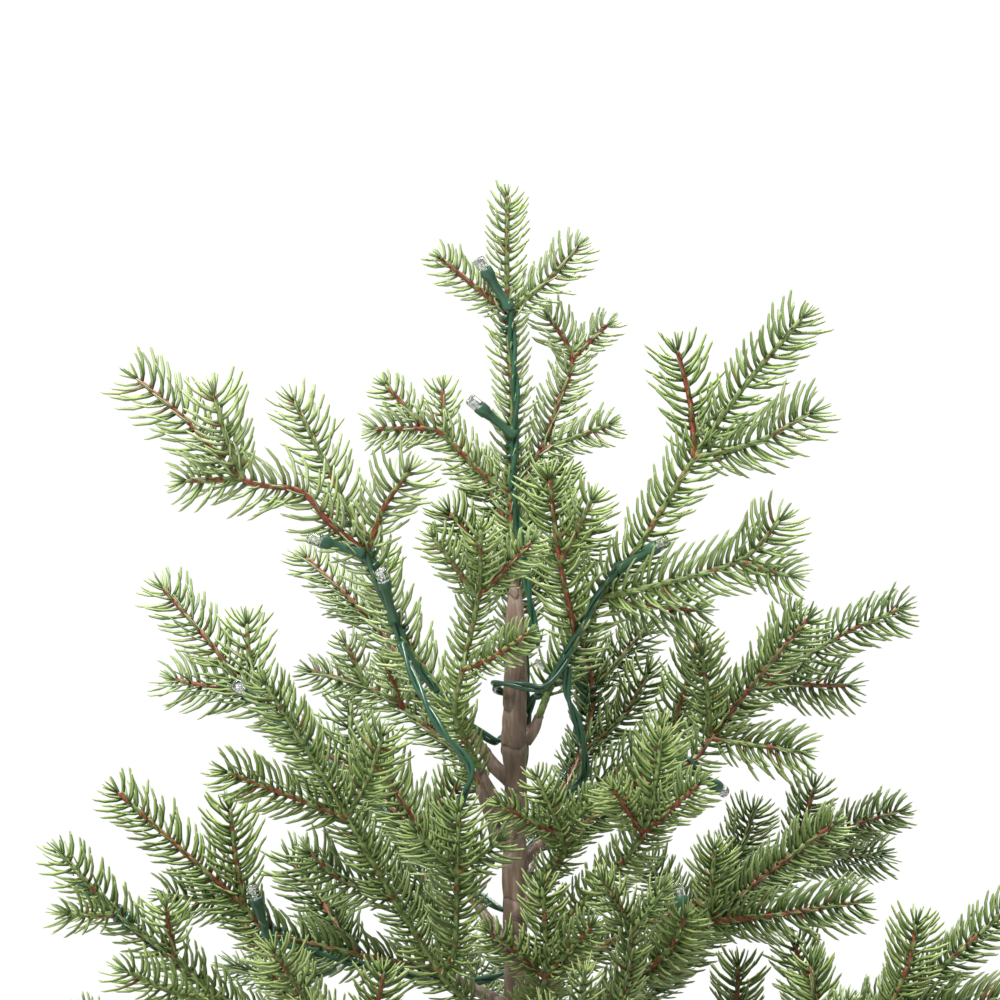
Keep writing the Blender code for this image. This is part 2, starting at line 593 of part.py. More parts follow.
def make_trunk(parts, cutters, looks):
    cylinder("trunk_rod", ROD_RADIUS, TRUNK_TOP - 0.024 - trunk_foot, 14, parts, looks["steel"],
             frame=Matrix.Translation((0, 0, trunk_foot)))
    profile = [(0, TRUNK_TOP), (0.0016, TRUNK_TOP), (trunk_radius, TRUNK_TOP - 0.006)]
    profile += [(trunk_radius + extra, level(height)) for height, extra in reversed(SWELLINGS)]
    profile += [(trunk_radius, case_top), (trunk_radius, trunk_foot), (0, trunk_foot)]
    wrap = applied(turned("trunk_wrap", profile, looks["tape"], parts, steps=12))
    stubs = [stub_of(f"stub_{name}", spray, cutters) for name, spray in SPRAYS.items()
             if not is_leader(spray)]
    wrap = joined("trunk_wrap", [wrap, *stubs], looks["tape"], parts)
    bore = cylinder("rod_bore", ROD_RADIUS + GAP, TRUNK_TOP - 0.020 - trunk_foot + 0.01, 14, cutters,
                    frame=Matrix.Translation((0, 0, trunk_foot - 0.01)))
    hide_cutter(bore)
    combine(wrap, bore, "DIFFERENCE")


def make_spray(name, spray, parts, helpers, looks):
    """A wired arm with its knuckle on the hinge, and the moulded stems that fork from it."""
    hinge = spray_hinge(spray)
    ball = bmesh.new()
    bmesh.ops.create_icosphere(ball, subdivisions=1, radius=KNUCKLE_RADIUS)
    mesh = bpy.data.meshes.new(name + "_knuckle")
    ball.to_mesh(mesh)
    ball.free()
    knuckle = add_object(name + "_knuckle", mesh, None, helpers)
    knuckle.data.transform(Matrix.Translation(hinge))
    pieces = [knuckle]
    for index, run in enumerate(stem_runs(spray)):
        steps = len(run) - 1
        root, sides = (STEM_RADIUS, 6) if index == 0 else (TWIG_RADIUS, 4)
        radii = [root + (TIP_RADIUS - root) * step / steps for step in range(steps + 1)]
        if index == 0:
            radii[:2] = [ARM_RADIUS, ARM_RADIUS]
        pieces.append(tube(f"{name}_{index}", run, radii, sides, helpers))
    joined(name, pieces, looks["stem"], parts)


def lead_run(spray, lead):
    """The lead's points: the first stem's own, moved to one side by the two radii and a clearance."""
    run = stem_runs(spray)[0][1:lead["last"] + 2]
    along = (run[-1] - run[0]).normalized()
    side = Vector(lead["beside"])
    side = (side - side.dot(along) * along).normalized()
    return [point + side * (ARM_RADIUS + LEAD_RADIUS + LEAD_CLEARANCE) for point in run]


def lamp_profile():
    """The holder with its collar, waist and flared foot, and the clear lens that stands out of it."""
    collar = HOLDER_LENGTH - 0.004
    top = HOLDER_LENGTH + LENS_LENGTH
    return [(0, top), (LENS_RADIUS - 0.0006, top), (LENS_RADIUS, top - 0.0010), (LENS_RADIUS, HOLDER_LENGTH),
            (HOLDER_RADIUS, HOLDER_LENGTH), (HOLDER_RADIUS, collar), (WAIST_RADIUS, collar - 0.003),
            (WAIST_RADIUS + 0.0003, 0.005), (HOLDER_RADIUS - 0.0003, 0.0005), (0, 0)]


def make_lead(name, parts, helpers, looks):
    spray, lead = SPRAYS[name], LEADS[name]
    run = lead_run(spray, lead)
    pieces = [tube(f"{name}_lead", run, [LEAD_RADIUS] * len(run), 6, helpers)]
    for index, (at, lens_end) in enumerate(lead["lamps"]):
        foot = run[at]
        direction = (spray_point(spray, lens_end) - foot).normalized()
        lamp = applied(turned(f"{name}_lamp_{index}", lamp_profile(), None, helpers, steps=8))
        lamp.data.transform(aim(foot, direction))
        pieces.append(lamp)
    joined(name.replace("branch", "lamp_lead").replace("leader", "lamp_lead_00"), pieces, looks["lead"], parts)


def make_trunk_lead(parts, helpers, looks):
    """The main lead, from inside the battery box's exit hole to the trunk and up beside it."""
    exit_hole = Vector((EXIT_X, bay_middle, switch_top + GAP))
    above = Vector((EXIT_X, bay_middle, case_top + LEAD_RADIUS))
    climb = [on_trunk(lead_reach, side, height) for side, height in TRUNK_LEAD]
    run = [exit_hole] + smooth_run([above, above.lerp(climb[0], 0.6) + Vector((0, 0, -LEAD_RADIUS)), *climb], 2)
    lead = tube("trunk_lead", run, [LEAD_RADIUS] * len(run), 6, helpers)
    joined("trunk_lead", [lead], looks["lead"], parts)


def make_case(parts, cutters, looks):
    case = applied(box("battery_case", (-case_outer, case_front, case_foot), (case_outer, case_back, case_top),
                       looks["case"], parts, bevel=0.0008))
    beyond = 0.01
    through = (switch_top - GAP, case_top + beyond)
    groove = case_half + TONGUE + GAP
    knob, width = SWITCH_LENGTH / 2 + GAP, SWITCH_WIDTH / 2 + GAP
    exit_half = LEAD_RADIUS + EXIT_CLEARANCE
    for name, low, high in (
        ("cell_bay", (-case_half, bay_front, bay_foot), (case_half, case_back + beyond, bay_top)),
        ("switch_bay", (-case_half, bay_front, switch_foot), (case_half, case_back + beyond, switch_top)),
        ("cover_recess", (-case_half, bay_back, bay_foot), (case_half, case_back + beyond, case_top + beyond)),
        ("cover_groove", (-groove, tongue_back[0] - GAP, bay_foot),
         (groove, tongue_back[1] + GAP, case_top + beyond)),
        ("switch_slot", (SWITCH_X - knob, bay_middle - width, through[0]),
         (SWITCH_X + knob + SWITCH_TRAVEL, bay_middle + width, through[1])),
        ("lead_exit", (EXIT_X - exit_half, bay_middle - exit_half, through[0]),
         (EXIT_X + exit_half, bay_middle + exit_half, through[1])),
    ):
        cutter = box(name, low, high, None, cutters)
        hide_cutter(cutter)
        combine(case, cutter, "DIFFERENCE")


def make_cover(parts, cutters, looks):
    """The sliding cover: a plate, a tongue down both sides and four ridges for the thumb."""
    foot = bay_foot + GAP
    plate = box("cover_plate", (-case_half + GAP, bay_back + GAP, foot), (case_half - GAP, case_back, case_top),
                None, cutters)
    tongues = box("cover_tongues", (-case_half - TONGUE, tongue_back[0], foot),
                  (case_half + TONGUE, tongue_back[1], case_top), None, cutters)
    ridges = []
    for index in range(4):
        low = foot + (2 + index) * RIDGE_PITCH
        ridges.append(box(f"cover_ridge_{index}", (-case_half / 3, case_back - COVER_RIDGE, low),
                          (case_half / 3, case_back + COVER_RIDGE, low + 0.4 * RIDGE_PITCH), None, cutters))
    joined("battery_cover", [plate, tongues, *ridges], looks["case"], parts)


def make_cells(parts, cutters, looks):
    foot = bay_foot + CONTACT_THICKNESS + SPRING_HEIGHT + 2 * GAP
    top = foot + CELL_LENGTH
    middle = bay_front + CELL_CLEARANCE + CELL_RADIUS
    columns = [(index - (CELL_COUNT - 1) / 2) * cell_pitch for index in range(CELL_COUNT)]
    for index, x in enumerate(columns):
        cell = turned(f"battery_cell_{index + 1}", [
            (0, top + NUB_LENGTH), (NUB_RADIUS, top + NUB_LENGTH), (NUB_RADIUS, top), (CELL_RADIUS - 0.0006, top),
            (CELL_RADIUS, top - 0.0008), (CELL_RADIUS, foot + 0.0004), (CELL_RADIUS - 0.0004, foot),
            (0, foot)], looks["cell"], parts, steps=14)
        cell.location = (x, middle, 0)

    # springs stand on the lower strip; the upper strip has a shallow boss that faces each cell's nub
    spring_foot, plate_foot = bay_foot + GAP, bay_top - GAP - CONTACT_THICKNESS
    boss = 0.4 * MM
    for name, strip_foot, wide, narrow, low, length in (
        ("contact_springs", spring_foot, CELL_RADIUS - 0.0025, NUB_RADIUS - 0.0004,
         spring_foot + CONTACT_THICKNESS / 2, SPRING_HEIGHT),
        ("contact_plate", plate_foot, NUB_RADIUS - 0.0002, NUB_RADIUS - 0.0010, plate_foot - boss, boss + 0.0002),
    ):
        pieces = [box(name + "_strip", (-case_half + GAP, bay_front + 0.002, strip_foot),
                      (case_half - GAP, bay_back - 0.002, strip_foot + CONTACT_THICKNESS), None, cutters)]
        for index, x in enumerate(columns):
            pieces.append(cylinder(f"{name}_{index}", wide, length, 10, cutters, end_radius=narrow,
                                   frame=Matrix.Translation((x, middle, low))))
        joined(name, pieces, looks["contact"], parts)


def make_switch_and_strap(parts, cutters, looks):
    flange_top = switch_top - GAP
    knob, width = SWITCH_LENGTH / 2, SWITCH_WIDTH / 2
    flange = box("switch_flange", (SWITCH_X - 2 * knob, bay_middle - 2 * width, flange_top - SWITCH_FLANGE),
                 (SWITCH_X + 2 * knob, bay_middle + 2 * width, flange_top), None, cutters)
    grip = box("switch_knob", (SWITCH_X - knob, bay_middle - width, flange_top - SWITCH_FLANGE / 2),
               (SWITCH_X + knob, bay_middle + width, case_top + SWITCH_PROUD), None, cutters)
    joined("switch_slider", [flange, grip], looks["switch"], parts)

    strap_foot = bay_foot + STRAP_LIFT
    strap_top = strap_foot + STRAP_WIDTH
    band = prism("case_strap", strap_outline(STRAP_SLACK + STRAP_THICKNESS), strap_foot, strap_top, looks["strap"],
                 parts)
    hole = prism("strap_hole", strap_outline(STRAP_SLACK), strap_foot - STRAP_WIDTH, strap_top + STRAP_WIDTH,
                 None, cutters)
    hide_cutter(hole)
    combine(band, hole, "DIFFERENCE")


def strap_outline(clearance):
    """Corners of a band pulled round the battery box and the trunk's front, at a clearance from both."""
    side, front, back = case_outer + clearance, case_front - clearance, case_back + COVER_RIDGE + clearance
    reach = trunk_radius + clearance
    touch = math.acos(reach / math.hypot(side, front)) - math.atan2(front, side)
    steps = 6
    arc = [-touch - (math.pi - 2 * touch) * step / steps for step in range(steps + 1)]
    wrap = [(reach * math.cos(angle), reach * math.sin(angle)) for angle in arc]
    return [(side, back), (side, front), *wrap, (-side, front), (-side, back)]


def prism(name, outline, low, high, material, collection):
    bm = bmesh.new()
    face = bm.faces.new([bm.verts.new((x, y, low)) for x, y in outline])
    rim = bmesh.ops.extrude_face_region(bm, geom=[face])
    lifted = [item for item in rim["geom"] if isinstance(item, bmesh.types.BMVert)]
    bmesh.ops.translate(bm, vec=(0, 0, high - low), verts=lifted)
    bmesh.ops.recalc_face_normals(bm, faces=bm.faces)
    mesh = bpy.data.meshes.new(name)
    bm.to_mesh(mesh)
    bm.free()
    return add_object(name, mesh, material, collection)


def shade_round_pieces(parts):
    for obj in parts.objects:
        obj.data.shade_smooth()
        obj.data.set_sharp_from_angle(angle=math.radians(35))


def main():
    for obj in list(bpy.data.objects):
        bpy.data.objects.remove(obj)
    parts = bpy.data.collections.new("artificial_tabletop_tree")
    cutters = bpy.data.collections.new("cutters")
    for collection in (parts, cutters):
        bpy.context.scene.collection.children.link(collection)
    looks = {
        "tub": make_material("black_polypropylene", (0.02, 0.02, 0.02), 0.5),
        "cement": make_material("cement", (0.32, 0.31, 0.29), 0.9),
        "moss": make_material("dried_moss", (0.10, 0.13, 0.03), 0.95),
        "socket": make_material("green_socket_plastic", (0.02, 0.07, 0.03), 0.5),
        "burlap": make_material("jute_burlap", (0.42, 0.29, 0.15), 0.9),
        "twine": make_material("jute_twine", (0.36, 0.23, 0.11), 0.9),
        "steel": make_material("steel_rod", (0.5, 0.5, 0.5), 0.35, 1.0),
        "tape": make_material("brown_florist_tape", (0.27, 0.18, 0.13), 0.45),
        "stem": make_material("painted_polyethylene_stem", (0.20, 0.09, 0.05), 0.5),
        "lead": make_material("green_pvc_lead", (0.02, 0.11, 0.05), 0.35),
        "case": make_material("green_battery_case", (0.02, 0.08, 0.04), 0.4),
        "cell": make_material("cell_label", (0.05, 0.05, 0.05), 0.3),
        "contact": make_material("nickel_contact", (0.7, 0.68, 0.62), 0.3, 1.0),
        "switch": make_material("black_switch", (0.02, 0.02, 0.02), 0.4),
        "strap": make_material("green_nylon_tie", (0.02, 0.08, 0.04), 0.45),
    }
    make_base(parts, cutters, looks)
    make_trunk(parts, cutters, looks)
    for name, spray in SPRAYS.items():
        make_spray(name, spray, parts, cutters, looks)
    for name in LEADS:
        make_lead(name, parts, cutters, looks)
    make_trunk_lead(parts, cutters, looks)
    make_case(parts, cutters, looks)
    make_cover(parts, cutters, looks)
    make_cells(parts, cutters, looks)
    make_switch_and_strap(parts, cutters, looks)
    shade_round_pieces(parts)


main()
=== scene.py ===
import json
import math

import bpy
import numpy as np
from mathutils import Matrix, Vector


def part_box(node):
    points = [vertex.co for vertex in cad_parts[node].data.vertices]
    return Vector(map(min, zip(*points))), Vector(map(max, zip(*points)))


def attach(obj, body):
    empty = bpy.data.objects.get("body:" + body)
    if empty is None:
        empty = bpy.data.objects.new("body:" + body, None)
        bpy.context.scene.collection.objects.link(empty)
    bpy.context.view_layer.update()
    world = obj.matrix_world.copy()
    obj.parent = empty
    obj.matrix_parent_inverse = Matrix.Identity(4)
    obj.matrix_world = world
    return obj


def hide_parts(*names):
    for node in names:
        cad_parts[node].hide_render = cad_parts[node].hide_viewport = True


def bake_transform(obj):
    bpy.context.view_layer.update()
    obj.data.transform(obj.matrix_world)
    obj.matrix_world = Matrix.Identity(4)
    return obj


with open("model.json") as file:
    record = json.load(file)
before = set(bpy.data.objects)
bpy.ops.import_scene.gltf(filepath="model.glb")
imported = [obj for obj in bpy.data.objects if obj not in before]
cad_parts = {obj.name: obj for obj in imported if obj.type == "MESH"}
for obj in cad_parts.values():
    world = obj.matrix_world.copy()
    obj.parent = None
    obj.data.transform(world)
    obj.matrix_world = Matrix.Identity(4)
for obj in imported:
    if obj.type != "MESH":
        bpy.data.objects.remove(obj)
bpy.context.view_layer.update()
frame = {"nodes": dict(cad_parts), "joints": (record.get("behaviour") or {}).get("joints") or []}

mm = 0.001
random = np.random.default_rng(24)


# small helpers
def linear(hexColor):
    # sRGB hex to linear light: the usual power curve above 0.04045, a straight line below it
    channels = np.array([int(hexColor[i:i + 2], 16) for i in (1, 3, 5)]) / 255
    bright = ((channels + 0.055) / 1.055) ** 2.4
    return (*np.where(channels <= 0.04045, channels / 12.92, bright), 1.0)


def addNode(tree, kind, inputs=None, links=None, **settings):
    # one node with its settings, its input values and its links from other sockets
    node = tree.nodes.new(kind)
    for key, value in settings.items():
        setattr(node, key, value)
    for key, value in (inputs or {}).items():
        node.inputs[key].default_value = value
    for key, socket in (links or {}).items():
        tree.links.new(socket, node.inputs[key])
    return node


def newMaterial(name, **values):
    material = bpy.data.materials.new(name)
    material.use_nodes = True
    shader = material.node_tree.nodes["Principled BSDF"]
    for key, value in values.items():
        shader.inputs[key.replace("_", " ")].default_value = value
    return material, material.node_tree, shader


def attribute(tree, name):
    return addNode(tree, "ShaderNodeAttribute", attribute_name=name).outputs["Fac"]


def noiseOn(tree, scale, detail=3.0, roughness=0.55, vector=None, stretch=None):
    # noise on Object coordinates; scale is in features per metre
    place = vector or addNode(tree, "ShaderNodeTexCoord").outputs["Object"]
    if stretch:
        place = addNode(tree, "ShaderNodeMapping", {"Scale": stretch}, {"Vector": place}).outputs[0]
    return addNode(tree, "ShaderNodeTexNoise", {"Scale": scale, "Detail": detail, "Roughness": roughness},
                   {"Vector": place}).outputs["Fac"]


def ramp(tree, factor, stops):
    node = addNode(tree, "ShaderNodeValToRGB", links={"Fac": factor})
    elements = node.color_ramp.elements
    while len(elements) < len(stops):
        elements.new(0.5)
    for element, (place, color) in zip(elements, stops):
        element.position = place
        element.color = linear(color) if isinstance(color, str) else (color, color, color, 1)
    return node.outputs["Color"]


def mixColor(tree, factor, first, second, blendType="MIX"):
    node = addNode(tree, "ShaderNodeMix", data_type="RGBA", blend_type=blendType)
    for socket, value in ((node.inputs[0], factor), (node.inputs[6], first), (node.inputs[7], second)):
        if isinstance(value, bpy.types.NodeSocket):
            tree.links.new(value, socket)
        else:
            socket.default_value = linear(value) if isinstance(value, str) else value
    return node.outputs[2]


def math2(tree, operation, first, second=0.0, clamp=False):
    node = addNode(tree, "ShaderNodeMath", operation=operation, use_clamp=clamp)
    for socket, value in ((node.inputs[0], first), (node.inputs[1], second)):
        if isinstance(value, bpy.types.NodeSocket):
            tree.links.new(value, socket)
        else:
            socket.default_value = value
    return node.outputs[0]


def addBump(tree, shader, height, strength, distance):
    bump = addNode(tree, "ShaderNodeBump", {"Strength": strength, "Distance": distance}, {"Height": height})
    tree.links.new(bump.outputs["Normal"], shader.inputs["Normal"])


def unit(vectors):
    return vectors / np.maximum(np.linalg.norm(vectors, axis=-1, keepdims=True), 1e-12)


def smoothPath(points, step):
    # Catmull-Rom curve through the points, resampled at even steps of arc length
    points = np.asarray(points, float)
    ends = np.vstack([2 * points[0] - points[1], points, 2 * points[-1] - points[-2]])
    a, b, c, d = ends[:-3, None], ends[1:-2, None], ends[2:-1, None], ends[3:, None]
    t = np.linspace(0, 1, 24, endpoint=False)[None, :, None]
    fine = 0.5 * (2 * b + (c - a) * t + (2 * a - 5 * b + 4 * c - d) * t**2 + (3 * b - a - 3 * c + d) * t**3)
    fine = np.vstack([fine.reshape(-1, 3), points[-1]])
    run = np.concatenate([[0], np.cumsum(np.linalg.norm(np.diff(fine, axis=0), axis=1))])
    count = max(3, int(round(run[-1] / step)) + 1)
    even = np.linspace(0, run[-1], count)
    return np.stack([np.interp(even, run, fine[:, i]) for i in range(3)], axis=1), even


def directions(path):
    return unit(np.gradient(path, axis=0))


def framesAlong(path, reference=None):
    # tangent, side and front at each point; the reference is the direction that the path least runs along
    tangent = directions(path)
    if reference is None:
        reference = np.linalg.svd(tangent, full_matrices=True)[2][-1]
    side = unit(np.cross(reference, tangent))
    return tangent, side, np.cross(tangent, side)


def meshFrom(name, chunks, material):
    # one mesh from chunks of points, quads and triangles, each with its own named values at the points
    points = np.concatenate([chunk["points"] for chunk in chunks])
    starts = np.cumsum([0] + [len(chunk["points"]) for chunk in chunks])[:-1]
    quads = [chunk["quads"] + start for chunk, start in zip(chunks, starts) if len(chunk.get("quads", ()))]
    triangles = [chunk["triangles"] + start for chunk, start in zip(chunks, starts)
                 if len(chunk.get("triangles", ()))]
    corners = np.concatenate([np.concatenate(faces).ravel() for faces in (quads, triangles) if faces])
    quadCount = sum(len(faces) for faces in quads)
    triangleCount = sum(len(faces) for faces in triangles)
    loopStarts = np.concatenate([np.arange(quadCount) * 4, quadCount * 4 + np.arange(triangleCount) * 3])
    mesh = bpy.data.meshes.new(name)
    mesh.vertices.add(len(points))
    mesh.vertices.foreach_set("co", points.astype(np.float32).ravel())
    mesh.loops.add(len(corners))
    mesh.loops.foreach_set("vertex_index", corners.astype(np.int32))
    mesh.polygons.add(len(loopStarts))
    mesh.polygons.foreach_set("loop_start", loopStarts.astype(np.int32))
    for key in chunks[0]:
        if key not in ("points", "quads", "triangles"):
            values = np.concatenate([chunk[key] for chunk in chunks]).astype(np.float32)
            mesh.attributes.new(key, "FLOAT", "POINT").data.foreach_set("value", values)
    mesh.update(calc_edges=True)
    mesh.shade_smooth()
    mesh.materials.append(material)
    piece = bpy.data.objects.new(name, mesh)
    bpy.context.scene.collection.objects.link(piece)
    return piece


def ringQuads(rings, sides):
    # quads between each ring of points and the next, round a closed ring
    i, j = np.meshgrid(np.arange(rings - 1), np.arange(sides), indexing="ij")
    after = (j + 1) % sides
    corners = [i * sides + j, i * sides + after, (i + 1) * sides + after, (i + 1) * sides + j]
    return np.stack(corners, axis=-1).reshape(-1, 4)


def endFans(rings, sides):
    # triangles from a middle point to the first ring, and from another to the last; both come after the rings
    j = np.arange(sides)
    after, top = (j + 1) % sides, (rings - 1) * sides
    first = np.stack([np.full(sides, rings * sides), after, j], axis=1)
    last = np.stack([np.full(sides, rings * sides + 1), top + j, top + after], axis=1)
    return np.vstack([first, last])


def sweep(path, radii, sides=10, reference=None):
    # a tube: a ring of points round each point of the path, at radii given per ring or per ring and side
    _, side, front = framesAlong(path, reference)
    count = len(path)
    radii = np.asarray(radii, float)
    radii = np.broadcast_to(radii[:, None] if radii.ndim == 1 else radii, (count, sides))
    angle = np.arange(sides) / sides * 2 * np.pi
    ring = np.cos(angle)[None, :, None] * side[:, None] + np.sin(angle)[None, :, None] * front[:, None]
    points = (path[:, None] + ring * radii[..., None]).reshape(-1, 3)
    run = np.concatenate([[0], np.cumsum(np.linalg.norm(np.diff(path, axis=0), axis=1))])
    return {"points": np.vstack([points, path[0], path[-1]]), "quads": ringQuads(count, sides),
            "triangles": endFans(count, sides), "along": np.append(np.repeat(run, sides), [0, run[-1]]),
            "around": np.append(np.tile(np.sin(angle), count), [0, 0])}


def turnedShape(profile, foot, direction, sides=24):
    # (distance, radius) points turned about an axis through the foot, with a flat fan at each end
    profile = np.asarray(profile, float)
    axis = unit(np.asarray(direction, float))
    path = np.asarray(foot) + profile[:, :1] * axis
    side = unit(np.cross(axis, [0.13, 0.31, 0.94] if abs(axis[2]) < 0.9 else [1.0, 0.2, 0.1]))
    front = np.cross(axis, side)
    angle = np.arange(sides) / sides * 2 * np.pi
    ring = np.cos(angle)[:, None] * side + np.sin(angle)[:, None] * front
    points = (path[:, None] + ring[None] * profile[:, 1][:, None, None]).reshape(-1, 3)
    count = len(profile)
    return {"points": np.vstack([points, path[0], path[-1]]), "quads": ringQuads(count, sides),
            "triangles": endFans(count, sides)}


# camera, floor and light
# metres and watts; a light is its place, the height on the trunk that it aims at, its width and its power
studio = {"distance": 1.55, "across": 0.385, "aimX": -0.0058, "aimZ": 0.4768, "paper": 1.6,
          "keyLight": ((-0.8, -1.0, 2.1), 0.42, 0.7, 66), "topLight": ((0.5, 0.7, 2.1), 0.40, 0.9, 58)}
cameraData = bpy.data.cameras.new("camera")
cameraData.sensor_width = 36
cameraData.lens = 36 * studio["distance"] / studio["across"]
cameraData.clip_end = 50
camera = bpy.data.objects.new("camera", cameraData)
camera.location = (studio["aimX"], -studio["distance"], studio["aimZ"])
camera.rotation_euler = (math.radians(90), 0, 0)
bpy.context.scene.collection.objects.link(camera)
bpy.context.scene.camera = camera
bpy.context.scene.view_settings.view_transform = "Standard"


def makeWorld():
    # white where it is seen; as a light it fades from overhead down to the floor
    world = bpy.data.worlds.new("softWhite")
    world.use_nodes = True
    tree = world.node_tree
    back = tree.nodes["Background"]
    direction = addNode(tree, "ShaderNodeSeparateXYZ",
                        links={"Vector": addNode(tree, "ShaderNodeTexCoord").outputs["Generated"]})
    limits = {"From Min": -0.6, "From Max": 1.0, "To Min": 0.05, "To Max": 0.80}
    fade = addNode(tree, "ShaderNodeMapRange", limits, {"Value": direction.outputs["Z"]})
    seen = addNode(tree, "ShaderNodeLightPath").outputs["Is Camera Ray"]
    strength = math2(tree, "MAXIMUM", math2(tree, "MULTIPLY", seen, 1.02), fade.outputs[0])
    tree.links.new(strength, back.inputs["Strength"])
    back.inputs["Color"].default_value = (1, 1, 1, 1)
    bpy.context.scene.world = world


def makeFloor():
    # a round sheet of uncoated paper, 0.4 mm below the object: matt, with a faint unevenness
    sides, below = 96, -0.4 * mm
    angle = np.linspace(0, 2 * np.pi, sides, endpoint=False)
    rim = studio["paper"] * np.stack([np.cos(angle), np.sin(angle)], axis=1)
    points = np.vstack([np.column_stack([rim, np.full(sides, below)]), [[0, 0, below]]])
    j = np.arange(sides)
    triangles = np.stack([np.full(sides, sides), j, (j + 1) % sides], axis=1)
    material, tree, shader = newMaterial("palePaper", Roughness=0.9)
    tone = ramp(tree, noiseOn(tree, 3.0), [(0.3, "#cfcecb"), (0.7, "#c6c5c1")])
    tree.links.new(tone, shader.inputs["Base Color"])
    meshFrom("paperFloor", [{"points": points, "triangles": triangles}], material)


def addLight(name):
    # a round area light that points at the trunk
    place, aim, size, power = studio[name]
    light = bpy.data.lights.new(name, "AREA")
    light.shape = "DISK"
    light.size = size
    light.energy = power
    lamp = bpy.data.objects.new(name, light)
    lamp.location = place
    lamp.rotation_euler = (Vector((0, 0, aim)) - Vector(place)).to_track_quat("-Z", "Y").to_euler()
    bpy.context.scene.collection.objects.link(lamp)


makeWorld()
makeFloor()
addLight("keyLight")
addLight("topLight")
print("camera, floor and light are in place")


